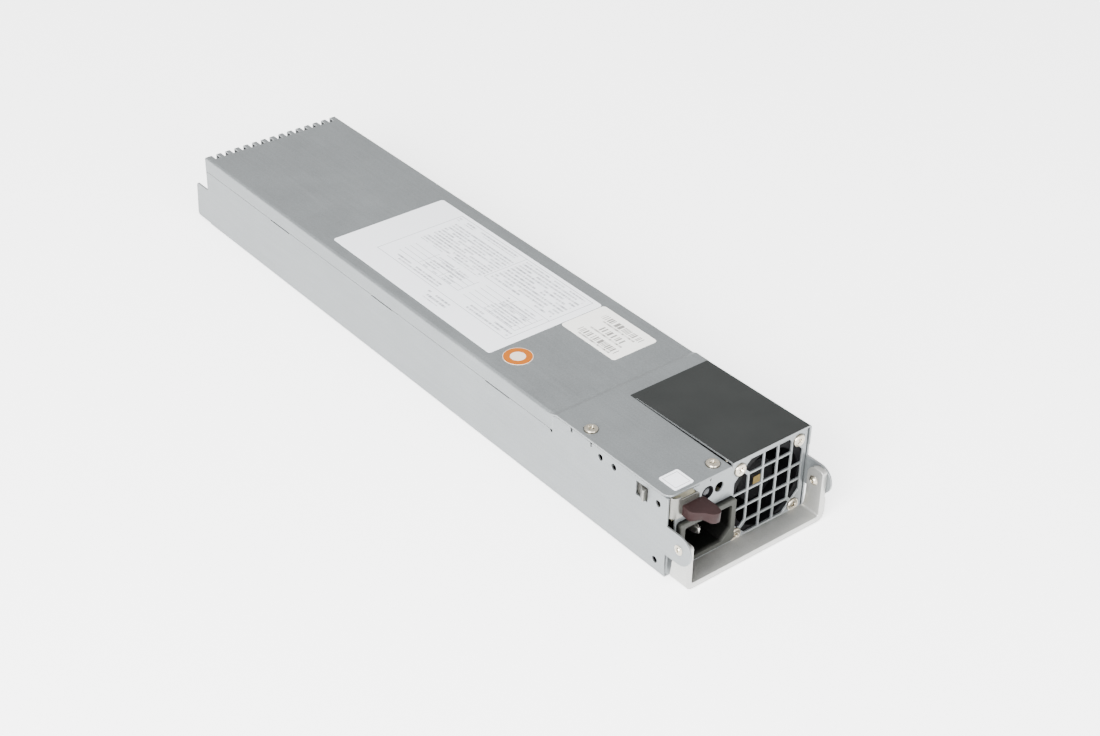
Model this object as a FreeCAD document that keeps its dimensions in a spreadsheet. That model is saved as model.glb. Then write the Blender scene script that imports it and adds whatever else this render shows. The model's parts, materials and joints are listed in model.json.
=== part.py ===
import FreeCAD, Part
import math
import os
import re

import Sketcher
from FreeCAD import Rotation, Vector

# Hot swap server power supply. Millimetres. The origin is on the underside, in the middle of the
# tray's floor: +X to the right seen from the front, +Y to the rear, +Z up.

# Driving sizes
SIZES = {
    # Case of folded sheet
    "case_width": 76.0,
    "case_length": 344.0,
    "sheet": 0.8,
    "bend_radius": 1.2,
    "cover_height": 38.5,
    "cover_step": 0.8,
    "cover_overhang": 0.3,
    "cover_gap": 0.2,
    "joggle_rear": 69.6,
    "joggle_length": 2.2,
    "seam_gap": 0.25,
    "corner_round": 3.5,
    # Raised flap of the cover over the fan, and the film on it
    "flap_rise": 1.1,
    "flap_length": 57.0,
    "flap_left": 5.4,
    "flap_slit": 0.8,
    "film_length": 60.0,
    "film_thickness": 0.2,
    # Comb of vent slots at the rear
    "comb_slots": 14,
    "comb_pitch": 5.1,
    "comb_width": 3.0,
    "comb_depth": 5.0,
    # Side panels: rear extensions, joggled lips behind the seam
    "extension_length": 12.0,
    "extension_height": 19.8,
    "extension_slant": 1.3,
    "extension_round": 1.5,
    "lip_length": 16.5,
    "lip_first": 98.2,
    "lip_pitch": 84.6,
    "lip_count": 3,
    "lip_gap": 0.1,
    "lip_slit": 0.45,
    # Ears and handle
    "pivot_reach": 7.5,
    "pivot_height": 18.6,
    "ear_radius": 6.8,
    "rivet_radius": 1.5,
    "rivet_head_radius": 2.3,
    "rivet_head": 0.8,
    "rivet_clearance": 0.06,
    "rivet_collar": 2.4,
    "handle_sheet": 2.0,
    "handle_gap": 0.9,
    "handle_front": 6.0,
    "handle_rear": 5.6,
    "handle_top": 25.0,
    "handle_bottom": 1.0,
    "handle_splay": 0.5,
    "handle_joggle_top": 12.0,
    "handle_joggle_low": 9.0,
    "handle_round": 4.0,
    "handle_rear_round": 5.0,
    "handle_front_round": 2.2,
    "handle_edge": 0.5,
    # Front panel
    "panel_gap": 0.1,
    "panel_flange": 12.0,
    "panel_bend": 1.5,
    "window_low": 10.0,
    "window_column": 33.4,
    "window_right": 21.4,
    "window_slant": 4.6,
    # Fan, its screws and its grille
    "fan_offset": 15.6,
    "fan_depth": 28.0,
    "fan_gap": 0.3,
    "fan_flange": 4.0,
    "fan_hole_radius": 2.1,
    "fan_corner": 1.8,
    "hub_length": 19.0,
    "hub_wall": 1.1,
    "blade_gap": 0.5,
    "blade_count": 7,
    "blade_thickness": 0.9,
    "motor_plate": 2.4,
    "shaft_radius": 1.5,
    "shaft_clearance": 0.05,
    "bearing_radius": 3.4,
    "bearing_length": 12.0,
    "strut_width": 2.2,
    "grille_corner": 8.2,
    "grille_lift": 0.5,
    "bars_shift": 0.8,
    "bar_count": 4,
    "bar_width": 0.8,
    "web_width": 1.5,
    # Screws
    "screw_head_radius": 2.9,
    "screw_head": 1.2,
    "screw_radius": 1.5,
    "screw_length": 7.0,
    "screw_hole": 1.75,
    "screw_dimple": 3.3,
    "dimple_depth": 0.4,
    "recess_width": 0.7,
    "recess_span": 3.2,
    "recess_depth": 0.9,
    "rear_screw_x": 33.0,
    "rear_screw_y": 51.6,
    "front_screw_x": 10.0,
    "front_screw_y": 5.6,
    "tab_half": 5.4,
    "tab_reach": 8.6,
    # Mains inlet
    "inlet_x": 17.9,
    "inlet_z": 14.0,
    "inlet_flange_width": 29.6,
    "inlet_flange_height": 20.8,
    "inlet_flange": 2.5,
    "inlet_body_width": 27.0,
    "inlet_body_height": 19.0,
    "inlet_body_depth": 19.0,
    "inlet_fit": 0.1,
    "cavity_width": 24.6,
    "cavity_height": 16.1,
    "cavity_chamfer": 4.7,
    "cavity_depth": 17.0,
    "blade_width": 2.0,
    "blade_height": 4.0,
    "blade_pitch": 7.0,
    "blade_row": 2.0,
    "blade_recess": 6.2,
    "blade_tail": 6.0,
    "blade_fit": 0.05,
    # Latch
    "leaf_thickness": 0.6,
    "leaf_gap": 0.45,
    "leaf_front": 1.9,
    "leaf_bend": 3.2,
    "leaf_end": 24.0,
    "latch_pivot": 27.0,
    "latch_tail": 2.2,
    "catch_front": 12.0,
    "catch_rear": 17.6,
    "catch_flat": 0.8,
    "catch_reach": 1.7,
    "catch_play": 0.7,
    "stud_radius": 1.2,
    "stud_clearance": 0.08,
    "stud_head_radius": 2.2,
    "stud_head": 0.6,
    "stud_play": 0.35,
    "tab_width": 7.9,
    "finger_reach": 13.5,
    # Small holes and the status lens
    "side_hole_radius": 1.5,
    "relief_radius": 0.9,
    "lens_x": 17.4,
    "lens_radius": 2.7,
    "lens_core": 1.6,
    "lens_proud": 0.1,
    "lens_depth": 7.0,
    "lens_fit": 0.05,
    "port_x": 11.1,
    "port_radius": 2.35,
    # Board and what stands on it
    "insulation": 0.4,
    "inlet_guard": 0.4,
    "guard_front": 3.0,
    "guard_half": 14.6,
    "board_height": 4.8,
    "board_thickness": 1.6,
    "board_margin": 0.9,
    "board_front_gap": 5.0,
    "board_rear_gap": 14.0,
    "tongue_half": 27.0,
    "tongue_reach": 8.0,
    "contact_pitch": 4.5,
    "contact_width": 3.4,
    "contact_length": 7.0,
    "contact_thickness": 0.15,
    "contact_count": 11,
    "standoff_radius": 2.6,
    "standoff_margin": 6.0,
    "board_screw_radius": 1.2,
    "board_screw_head": 2.4,
    "board_screw_head_height": 1.3,
    # Labels and stickers
    "label_thickness": 0.12,
    "label_round": 1.5,
    "sticker_radius": 6.5,
}

# Places worked out from the sizes
PLACES = {
    "front": "-case_length / 2",
    "rear": "case_length / 2",
    "half": "case_width / 2",
    "inner": "case_width / 2 - sheet",
    "front_top": "cover_height + cover_step",
    "flap_top": "front_top + flap_rise",
    "wall_top": "front_top - sheet - cover_gap",
    "seam_height": "cover_height - 8",
    "comb_low": "cover_height - 14.5",
    "rear_flange_low": "cover_height - 17",
    "lip_low": "seam_height - 3",
    "lip_high": "seam_height + 5.5",
    "window_sill": "front_top - 11.9",
    "leaf_low": "front_top - 10.9",
    "leaf_high": "front_top - 1.3",
    "leaf_tongue_high": "front_top - 2.5",
    "catch_low": "front_top - 8.7",
    "catch_high": "front_top - 3.5",
    "tab_low": "front_top - 10.2",
    "tab_high": "front_top - 5.5",
    "lens_z": "front_top - 7.4",
    "guard_top": "front_top - 2.1",
    "fan_height": "front_top / 2 - 0.35",
    "fan_size": "cover_height - 0.5",
    "fan_bore_radius": "fan_size / 2 - 1.4",
    "fan_pitch": "fan_size - 6",
    "hub_radius": "fan_size / 4",
    "motor_radius": "hub_radius - 0.9",
    "grille_half": "fan_size / 2 - 0.3",
    "grille_tall": "fan_size / 2 - 0.8",
    "bar_pitch": "fan_size * 0.204",
    "cover_low": "seam_height + seam_gap",
    "step_rear": "front + joggle_rear",
    "step_front": "step_rear - joggle_length",
    "cover_front": "front - cover_overhang",
    "panel_half": "inner - panel_gap",
    "pivot_y": "front - pivot_reach",
    "cheek_outer": "inner - handle_gap",
    "cheek_inner": "cheek_outer - handle_sheet",
    "fan_front": "front + sheet",
    "fan_rear": "fan_front + 2 * fan_depth + fan_gap",
    "inlet_front": "front - inlet_flange",
    "leaf_outer": "inner - leaf_gap",
    "leaf_inner": "leaf_outer - leaf_thickness",
    "leaf_middle": "leaf_outer - leaf_thickness / 2",
    "latch_y": "front + latch_pivot",
    "board_top": "board_height + board_thickness",
    "board_front": "fan_rear + board_front_gap",
    "board_rear": "rear - board_rear_gap",
    "board_half": "inner - board_margin",
    "tongue_rear": "rear + tongue_reach",
    "ceiling": "cover_height - sheet",
    "room": "ceiling - board_top",
}

doc = FreeCAD.newDocument("power_supply")
sizes = doc.addObject("Spreadsheet::Sheet", "Sizes")
for row, (name, size) in enumerate(SIZES.items(), 1):
    sizes.set(f"A{row}", name)
    sizes.set(f"B{row}", str(size))
    sizes.setAlias(f"B{row}", name)
doc.recompute()

finished = []


# Helpers: formulas, sketches and features

def formula(text):
    """The text with each place spelled out and each size read from the sheet."""
    def spell_out(match):
        word = match.group(0)
        if word in PLACES:
            return "(" + formula(PLACES[word]) + ")"
        return "Sizes." + word if word in SIZES else word
    return re.sub(r"[a-z_][a-z0-9_]*", spell_out, str(text))


def number(text):
    """The value of a formula, in millimetres."""
    return float(sizes.evalExpression(formula(text)))


def finish(piece, label):
    """Give a finished piece its label."""
    piece.Label = label
    finished.append(piece)
    return piece


def plane(body, role):
    """One of the body's own origin planes or axes."""
    return next(item for item in body.Origin.OriginFeatures if item.Role == role)


def drawing(body, view, level):
    """An empty sketch on an origin plane of the body, moved to a level."""
    sketch = body.newObject("Sketcher::SketchObject", "outline")
    sketch.AttachmentSupport = [(plane(body, view + "_Plane"), "")]
    sketch.MapMode = "FlatFace"
    sign = "-" if view == "XZ" else ""
    sketch.setExpression("AttachmentOffset.Base.z", formula(f"{sign}({level})"))
    return sketch


def pin_point(sketch, geometry, end, across, up):
    """Tie a point of the sketch to its formulas."""
    for kind, text in (("DistanceX", across), ("DistanceY", up)):
        index = sketch.addConstraint(Sketcher.Constraint(kind, -1, 1, geometry, end, number(text)))
        sketch.setExpression(f"Constraints[{index}]", formula(text))


def circle(sketch, across, up, radius):
    """A circle of the sketch."""
    centre = Vector(number(across), number(up), 0)
    ring = Part.Circle(centre, Vector(0, 0, 1), number(radius))
    geometry = sketch.addGeometry(ring, False)
    pin_point(sketch, geometry, 3, across, up)
    index = sketch.addConstraint(Sketcher.Constraint("Radius", geometry, number(radius)))
    sketch.setExpression(f"Constraints[{index}]", formula(radius))


def outline(sketch, corners):
    """A closed outline through the corners. A corner's third value rounds it to that radius."""
    points = [Vector(number(corner[0]), number(corner[1]), 0) for corner in corners]
    count = len(points)
    bends = []
    for index, point in enumerate(points):
        back = (points[index - 1] - point).normalize()
        ahead = (points[(index + 1) % count] - point).normalize()
        half_angle = back.getAngle(ahead) / 2
        radius = number(corners[index][2]) if len(corners[index]) > 2 else 0
        reach = radius / math.tan(half_angle)
        middle = point + (back + ahead).normalize() * (radius / math.sin(half_angle)) if radius else point
        left_turn = back.cross(ahead).z < 0
        bends.append((point + back * reach, point + ahead * reach, middle, radius, left_turn))
    lines = []
    for index in range(count):
        segment = Part.LineSegment(bends[index][1], bends[(index + 1) % count][0])
        lines.append(sketch.addGeometry(segment, False))
    for index, (enter, leave, middle, radius, left_turn) in enumerate(bends):
        into = lines[index - 1]
        out = lines[index]
        across, up = corners[index][:2]
        if not radius:
            sketch.addConstraint(Sketcher.Constraint("Coincident", into, 2, out, 1))
            pin_point(sketch, out, 1, across, up)
            continue
        first, last = (enter, leave) if left_turn else (leave, enter)
        angles = [math.atan2(spot.y - middle.y, spot.x - middle.x) for spot in (first, last)]
        ring = Part.Circle(middle, Vector(0, 0, 1), radius)
        arc = sketch.addGeometry(Part.ArcOfCircle(ring, *angles), False)
        enter_end, leave_end = (1, 2) if left_turn else (2, 1)
        sketch.addConstraint(Sketcher.Constraint("Tangent", into, 2, arc, enter_end))
        sketch.addConstraint(Sketcher.Constraint("Tangent", arc, leave_end, out, 1))
        size = sketch.addConstraint(Sketcher.Constraint("Radius", arc, radius))
        sketch.setExpression(f"Constraints[{size}]", formula(corners[index][2]))
        corner = sketch.addGeometry(Part.Point(points[index]), True)
        sketch.addConstraint(Sketcher.Constraint("PointOnObject", corner, 1, into))
        sketch.addConstraint(Sketcher.Constraint("PointOnObject", corner, 1, out))
        pin_point(sketch, corner, 1, across, up)


def draw(sketch, loops):
    """Each loop is a list of corners, or a tuple of a circle's centre and radius."""
    for loop in loops:
        if isinstance(loop, tuple):
            circle(sketch, *loop)
        else:
            outline(sketch, loop)


def slab(body, view, low, high, *loops, cut=False):
    """Add, or cut away, the loops drawn in a view, from one level to another."""
    before = body.Shape.Volume if cut else 0
    sketch = drawing(body, view, low)
    draw(sketch, loops)
    feature = body.newObject("PartDesign::Pocket" if cut else "PartDesign::Pad", "cut" if cut else "pad")
    feature.Profile = sketch
    feature.setExpression("Length", formula(f"({high}) - ({low})"))
    feature.Reversed = (view == "XZ") != cut
    doc.recompute()
    if cut and body.Shape.Volume > before - 1e-6:
        raise RuntimeError(f"{body.Label}: a cut at {low} removed nothing")
    return feature


def block(across, up):
    """The four corners between two pairs of values."""
    return [(across[0], up[0]), (across[1], up[0]), (across[1], up[1]), (across[0], up[1])]


def rounded(across, up, radius):
    """The same, with rounded corners."""
    return [corner + (radius,) for corner in block(across, up)]


def row(body, feature, axis, pitch, count):
    """Repeat a feature along one of the body's axes."""
    pattern = body.newObject("PartDesign::LinearPattern", "row")
    pattern.Originals = [feature]
    pattern.Direction = (plane(body, axis + "_Axis"), [""])
    pattern.setExpression("Length", formula(f"({pitch}) * (({count}) - 1)"))
    pattern.setExpression("Occurrences", formula(count))
    body.Tip = pattern
    doc.recompute()
    return pattern


def mirror(body, features):
    """Repeat features on the other side of the middle plane."""
    other = body.newObject("PartDesign::Mirrored", "other_side")
    other.Originals = features
    other.MirrorPlane = (plane(body, "YZ_Plane"), [""])
    body.Tip = other
    doc.recompute()
    return other


def soften(body, radius, is_edge, kind="Fillet"):
    """Fillet, or chamfer, the edges that the test picks."""
    base = body.Tip
    names = [f"Edge{index}" for index, edge in enumerate(base.Shape.Edges, 1) if is_edge(edge)]
    if not names:
        raise RuntimeError(f"{body.Label}: no edge to soften")
    feature = body.newObject("PartDesign::" + kind, kind.lower())
    feature.Base = (base, names)
    feature.setExpression("Radius" if kind == "Fillet" else "Size", formula(radius))
    doc.recompute()
    return feature


def runs_along(edge, axis):
    """Whether an edge is straight and runs along an axis, give or take a slight slope."""
    if not isinstance(edge.Curve, (Part.Line, Part.LineSegment)):
        return False
    ends = edge.Vertexes[-1].Point - edge.Vertexes[0].Point
    return abs(getattr(ends, axis)) > 0.9 * ends.Length


def near(one, other, tolerance=0.01):
    return abs(one - other) < tolerance


def new_body(name):
    body = doc.addObject("PartDesign::Body", name)
    body.Label = name
    return body


def place(piece, across, along, up):
    """Tie a piece's position to its formulas."""
    for axis, text in (("x", across), ("y", along), ("z", up)):
        piece.setExpression("Placement.Base." + axis, formula(text))


def box(name, across, along, up):
    """A plain block between three pairs of values."""
    piece = doc.addObject("Part::Box", name)
    for side, (low, high) in zip(("Length", "Width", "Height"), (across, along, up)):
        piece.setExpression(side, formula(f"({high}) - ({low})"))
    place(piece, across[0], along[0], up[0])
    return piece


TURNS = {"Z": Rotation(), "Y": Rotation(Vector(1, 0, 0), -90), "X": Rotation(Vector(0, 1, 0), 90)}


def rod(name, axis, spot, radius, length):
    """A cylinder that starts at a spot and runs along an axis."""
    piece = doc.addObject("Part::Cylinder", name)
    piece.setExpression("Radius", formula(radius))
    piece.setExpression("Height", formula(length))
    piece.Placement.Rotation = TURNS[axis]
    place(piece, *spot)
    return piece


def join(name, pieces):
    piece = doc.addObject("Part::MultiFuse", name)
    piece.Shapes = pieces
    return piece


def subtract(name, base, tool):
    piece = doc.addObject("Part::Cut", name)
    piece.Base = base
    piece.Tool = tool
    return piece


def group(name, pieces):
    """Separate solids kept in one node."""
    piece = doc.addObject("Part::Compound", name)
    piece.Links = pieces
    return finish(piece, name)


# Case

def make_base_tray():
    """Floor and side panels in one folded sheet, with the ears and the rear extensions."""
    body = new_body("base_tray")
    slab(body, "XZ", "front", "rear", [
        ("-half", "wall_top"), ("-half", "0", "bend_radius"), ("half", "0", "bend_radius"),
        ("half", "wall_top"), ("inner", "wall_top"), ("inner", "sheet", "bend_radius - sheet"),
        ("-inner", "sheet", "bend_radius - sheet"), ("-inner", "wall_top")])
    # Behind the step the walls stop at the seam, under the cover's side flanges
    slab(body, "YZ", "-half - 1", "half + 1",
         block(("step_rear", "rear + 1"), ("seam_height", "wall_top + 1")), cut=True)
    # On the right the cover's flange runs on to the front
    slab(body, "YZ", "inner - 1", "half + 1",
         block(("front - 1", "step_rear + 1"), ("seam_height", "wall_top + 1")), cut=True)
    mirror(body, make_side_features(body))
    make_lips(body)
    make_side_openings(body)
    make_screw_tab(body)
    # The left wall follows the cover's step
    slab(body, "YZ", "-half - 1", "-inner + 1", [
        ("step_front", "wall_top + 1"), ("step_front", "wall_top"), ("step_rear", "wall_top - cover_step"),
        ("step_rear + 1", "wall_top - cover_step"), ("step_rear + 1", "wall_top + 1")], cut=True)
    # The floor's front edge leaves room for the two lower fan screws
    for across, up in fan_corners()[::2]:
        slab(body, "XY", "-1", "sheet + 1", block(
            (f"{across} - screw_dimple", f"{across} + screw_dimple"),
            ("front - 1", "front + dimple_depth + 0.1")), cut=True)
    # The fan body stands a little lower than the floor's top
    slab(body, "XY", "-1", "sheet + 1", block(
        ("fan_offset - fan_size / 2 - fan_gap", "fan_offset + fan_size / 2 + fan_gap"),
        ("fan_front", "fan_rear + fan_gap")), cut=True)
    return finish(body, "base_tray")


def make_side_features(body):
    """The rear extension and the front ear of the left wall."""
    extension = slab(body, "YZ", "-half", "-inner", [
        ("rear - 1", "bend_radius"), ("rear + extension_length", "bend_radius", "extension_round"),
        ("rear + extension_length - extension_slant", "extension_height", "extension_round"),
        ("rear - 1", "extension_height")])
    plate = slab(body, "YZ", "-half", "-inner", block(
        ("pivot_y", "front + 1"), ("pivot_height - ear_radius", "pivot_height + ear_radius")))
    tip = slab(body, "YZ", "-half", "-inner", ("pivot_y", "pivot_height", "ear_radius"))
    hole = slab(body, "YZ", "-half - 1", "-inner + 1",
                ("pivot_y", "pivot_height", "rivet_radius"), cut=True)
    return [extension, plate, tip, hole]


def make_lips(body):
    """Joggled lips that stand up behind the cover's flanges, each with a slit at the seam."""
    count = int(number("lip_count"))
    for index in range(count):
        start = f"front + lip_first + {index} * lip_pitch"
        end = f"{start} + lip_length"
        for side in ("-1", "1"):
            slab(body, "XZ", start, end, [
                (f"{side} * inner", "lip_low"), (f"{side} * inner", "seam_height - lip_slit"),
                (f"{side} * (inner - lip_gap)", "seam_height - lip_slit"),
                (f"{side} * (inner - lip_gap)", "lip_high"),
                (f"{side} * (inner - lip_gap - sheet)", "lip_high"),
                (f"{side} * (inner - lip_gap - sheet)", "lip_low")])
        slit = slab(body, "YZ", "-half - 1", "-inner - lip_gap / 2",
                    block((start, end), ("seam_height - lip_slit", "seam_height + 1")), cut=True)
        mirror(body, [slit])


def make_side_openings(body):
    """Round holes, the latch window and the notches of the left wall."""
    spots = [("front + 39.7", "34.7"), ("front + 31.6", "34.7"), ("front + 5.3", "33.1"),
             ("front + 5.5", "5.6")]
    slab(body, "YZ", "-half - 1", "-inner + 1",
         *[spot + ("side_hole_radius",) for spot in spots], cut=True)
    slab(body, "YZ", "-half - 1", "-inner + 1", block(
        ("front + catch_front - catch_play", "front + catch_rear + catch_play"),
        ("catch_low - catch_play", "catch_high + catch_play")), cut=True)
    slab(body, "YZ", "-half - 1", "-inner + 1",
         ("step_rear + relief_radius", "seam_height - relief_radius / 2", "relief_radius"), cut=True)
    for edge, width in (("- tab_half - 1.1", "1"), ("+ tab_half + 0.1", "1.3")):
        slab(body, "YZ", "-half - 1", "-inner + 1", block(
            (f"front + rear_screw_y {edge}", f"front + rear_screw_y {edge} + {width}"),
            ("wall_top - 1.9", "wall_top + 1")), cut=True)


def make_screw_tab(body):
    """The tab bent in from the top of the left wall for the rear cover screw."""
    slab(body, "XY", "wall_top - sheet", "wall_top", block(
        ("-inner - sheet / 2", "-rear_screw_x + tab_half - 1"),
        ("front + rear_screw_y - tab_half", "front + rear_screw_y + tab_half")))
    slab(body, "XY", "wall_top - sheet - 1", "wall_top + 1",
         ("-rear_screw_x", "front + rear_screw_y", "screw_radius"), cut=True)


def make_top_cover():
    """The long cover: step, side flanges, rear comb, and the raised flap over the fan."""
    body = new_body("top_cover")
    slab(body, "YZ", "-half", "half", [
        ("cover_front", "front_top - sheet"), ("step_front", "front_top - sheet"),
        ("step_rear", "ceiling"), ("rear", "ceiling"), ("rear", "cover_height"),
        ("step_rear", "cover_height"), ("step_front", "front_top"), ("cover_front", "front_top")])
    slab(body, "XY", "front_top - sheet", "front_top", block(
        ("-flap_left", "half + 1"), ("cover_front - 1", "front + flap_length")), cut=True)
    slab(body, "YZ", "-flap_left + flap_slit", "half", [
        ("cover_front", "flap_top - sheet"), ("front + flap_length", "front_top - sheet"),
        ("front + flap_length", "front_top"), ("cover_front", "flap_top")])
    slab(body, "XZ", "rear - sheet", "rear", block(("-half", "half"), ("cover_low", "cover_height")))
    slab(body, "XZ", "rear - sheet", "rear",
         block(("-inner + cover_gap", "inner - cover_gap"), ("rear_flange_low", "cover_height")))
    slab(body, "YZ", "-half", "-inner", block(("step_rear", "rear"), ("cover_low", "cover_height")))
    slab(body, "YZ", "inner", "half", [
        ("cover_front", "cover_low"), ("rear", "cover_low"), ("rear", "cover_height"),
        ("step_rear", "cover_height"), ("step_front", "front_top"),
        ("front + flap_length", "front_top"), ("cover_front", "flap_top")])
    side = number("half")
    height = number("cover_height")
    back = number("rear")

    def is_top_edge(edge):
        middle = edge.CenterOfMass
        on_side = near(abs(middle.x), side) and middle.z > height - 0.01 and runs_along(edge, "y")
        at_rear = near(middle.y, back) and near(middle.z, height)
        behind_step = middle.x > 0 or middle.y > number("step_rear")
        return (on_side and behind_step) or at_rear
    soften(body, "bend_radius", is_top_edge)
    corner_y = number("cover_front")
    soften(body, "corner_round",
           lambda edge: near(edge.CenterOfMass.x, -side) and near(edge.CenterOfMass.y, corner_y)
           and runs_along(edge, "z"))
    slot = slab(body, "XZ", "rear - comb_depth", "rear + 1", block(
        ("-comb_pitch * (comb_slots - 1) / 2 - comb_width / 2",
         "-comb_pitch * (comb_slots - 1) / 2 + comb_width / 2"),
        ("comb_low", "cover_height + 1")), cut=True)
    row(body, slot, "X", "comb_pitch", "comb_slots")
    for spot in (("-rear_screw_x", "front + rear_screw_y"), ("-front_screw_x", "front + front_screw_y")):
        slab(body, "XY", "front_top - dimple_depth", "front_top + 1", spot + ("screw_dimple",), cut=True)
        slab(body, "XY", "front_top - sheet - 1", "front_top + 1", spot + ("screw_hole",), cut=True)
    return finish(body, "top_cover")


def make_fan_film():
    """The black film that lies on the flap and closes its slit's rear end."""
    body = new_body("fan_film")
    slab(body, "YZ", "-flap_left", "half - bend_radius", [
        ("cover_front", "flap_top"), ("front + flap_length", "front_top"),
        ("front + film_length", "front_top"), ("front + film_length", "front_top + film_thickness"),
        ("front + flap_length", "front_top + film_thickness"), ("cover_front", "flap_top + film_thickness")])
    slab(body, "XY", "front_top - 1", "flap_top + 1", block(
        ("-flap_left - 1", "-flap_left + flap_slit"), ("cover_front - 1", "front + flap_length")), cut=True)
    return finish(body, "fan_film")


# Front panel

def grille_loop():
    """The eight-sided opening of the grille, round the fan's axis."""
    flat_across = "(grille_half - grille_corner)"
    flat_up = "(grille_tall - grille_corner)"
    spots = [("-grille_half", f"-{flat_up}"), (f"-{flat_across}", "-grille_tall"),
             (flat_across, "-grille_tall"), ("grille_half", f"-{flat_up}"),
             ("grille_half", flat_up), (flat_across, "grille_tall"),
             (f"-{flat_across}", "grille_tall"), ("-grille_half", flat_up)]
    return [(f"fan_offset + {across}", f"fan_height + grille_lift + {up}") for across, up in spots]


def make_front_panel():
    """The punched front: fan grille, inlet cut-out, latch window, lens hole and side flanges."""
    body = new_body("front_panel")
    slab(body, "XZ", "front", "front + sheet", [
        ("-panel_half", "sheet"), ("panel_half", "sheet"), ("panel_half", "flap_top - sheet - cover_gap"),
        ("-flap_left + flap_slit", "flap_top - sheet - cover_gap"), ("-flap_left + flap_slit", "wall_top"),
        ("-panel_half", "wall_top")])
    slab(body, "YZ", "-panel_half", "-panel_half + sheet", block(
        ("front", "front + panel_flange"), ("sheet", "window_low")))
    slab(body, "YZ", "panel_half - sheet", "panel_half", block(
        ("front", "front + panel_flange"), ("sheet", "flap_top - sheet - 2 * cover_gap - 0.1")))
    side = number("panel_half")
    face = number("front")
    soften(body, "panel_bend",
           lambda edge: near(abs(edge.CenterOfMass.x), side) and near(edge.CenterOfMass.y, face)
           and runs_along(edge, "z"))
    # The lower corners clear the tray's bends
    for side in ("-1", "1"):
        slab(body, "XZ", "front - 1", "front + panel_flange + 1", [
            (f"{side} * (panel_half - bend_radius / 2)", "sheet - 1"),
            (f"{side} * (panel_half - bend_radius / 2)", "sheet"),
            (f"{side} * panel_half", "sheet + bend_radius / 2"),
            (f"{side} * (panel_half + 1)", "sheet + bend_radius / 2"),
            (f"{side} * (panel_half + 1)", "sheet - 1")], cut=True)
    # Latch window: a column for the leaf spring, and a slot for its tongue
    slab(body, "XZ", "front - 1", "front + sheet + 1", [
        ("-panel_half - 1", "window_low"), ("-window_column", "window_low"), ("-window_column", "window_sill"),
        ("-window_right", "window_sill"), ("-window_right", "wall_top - window_slant"),
        ("-window_right - window_slant", "wall_top"), ("-window_right - window_slant", "wall_top + 1"),
        ("-panel_half - 1", "wall_top + 1")], cut=True)
    slab(body, "XZ", "front - 1", "front + sheet + 1", block(
        ("-panel_half - 1", "-window_right - 0.3"), ("wall_top - 0.4", "wall_top + 1")), cut=True)
    slab(body, "XZ", "front - 1", "front + sheet + 1", rounded(
        ("-inlet_x - inlet_body_width / 2 - inlet_fit", "-inlet_x + inlet_body_width / 2 + inlet_fit"),
        ("inlet_z - inlet_body_height / 2 - inlet_fit", "inlet_z + inlet_body_height / 2 + inlet_fit"),
        "1"), cut=True)
    slab(body, "XZ", "front - 1", "front + sheet + 1",
         ("-lens_x", "lens_z", "lens_radius + lens_fit"), ("-port_x", "lens_z", "port_radius"),
         ("-lens_x + 1.4", "wall_top - 0.8", "0.5"), cut=True)
    make_grille(body)
    for spot in fan_corners():
        slab(body, "XZ", "front - 1", "front + dimple_depth", spot + ("screw_dimple",), cut=True)
        slab(body, "XZ", "front - 1", "front + sheet + 1", spot + ("screw_hole",), cut=True)
    slab(body, "YZ", "-panel_half - 1", "-panel_half + sheet + 1",
         ("front + 6.4", "5.6", "side_hole_radius + 1.2"), cut=True)
    # The tab bent back for the front cover screw
    slab(body, "XY", "wall_top - sheet", "wall_top", block(
        ("-front_screw_x - tab_half + 1", "-front_screw_x + tab_half - 1"),
        ("front + sheet / 2", "front + front_screw_y + tab_half")))
    slab(body, "XY", "wall_top - sheet - 1", "wall_top + 1",
         ("-front_screw_x", "front + front_screw_y", "screw_radius"), cut=True)
    return finish(body, "front_panel")


def make_grille(body):
    """Bars each way across the opening. The outer bars end where they cross, and webs go on to the corners."""
    slab(body, "XZ", "front - 1", "front + sheet + 1", grille_loop(), cut=True)
    middle = "fan_offset + bars_shift"
    reach = "(bar_pitch * (bar_count - 1) / 2)"
    short = f"({reach} + bar_width / 2)"
    outer = (reach, (f"{middle} - {short}", f"{middle} + {short}"),
             (f"fan_height - {short}", f"fan_height + {short}"))
    inside = ("(bar_pitch / 2)", ("fan_offset - grille_half - 0.2", "fan_offset + grille_half + 0.2"),
              ("fan_height + grille_lift - grille_tall - 0.2", "fan_height + grille_lift + grille_tall + 0.2"))
    for offset, across, up in (outer, inside):
        upright = slab(body, "XZ", "front", "front + sheet", block(
            (f"{middle} - {offset} - bar_width / 2", f"{middle} - {offset} + bar_width / 2"), up))
        row(body, upright, "X", f"2 * {offset}", "2")
        level = slab(body, "XZ", "front", "front + sheet", block(
            across, (f"fan_height - {offset} - bar_width / 2", f"fan_height - {offset} + bar_width / 2")))
        row(body, level, "Z", f"2 * {offset}", "2")
    half_web = "(web_width * 0.3536)"
    for left, low, length in (("-1", "1", "4"), ("-1", "-1", "3.8"), ("1", "-1", "3")):
        corners = [(f"{reach} - {half_web}", f"{reach} + {half_web}"),
                   (f"{reach} + {half_web}", f"{reach} - {half_web}"),
                   (f"{reach} + {half_web} + {length}", f"{reach} - {half_web} + {length}"),
                   (f"{reach} - {half_web} + {length}", f"{reach} + {half_web} + {length}")]
        slab(body, "XZ", "front", "front + sheet", [
            (f"{middle} + {left} * ({across})", f"fan_height + {low} * ({up})") for across, up in corners])
    slab(body, "XZ", "front", "front + sheet", block(
        (f"{middle} + {reach} - bar_width / 2", f"{middle} + {reach} + bar_width / 2"),
        (f"fan_height + {reach}", f"fan_height + {reach} + 5.4")))


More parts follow.
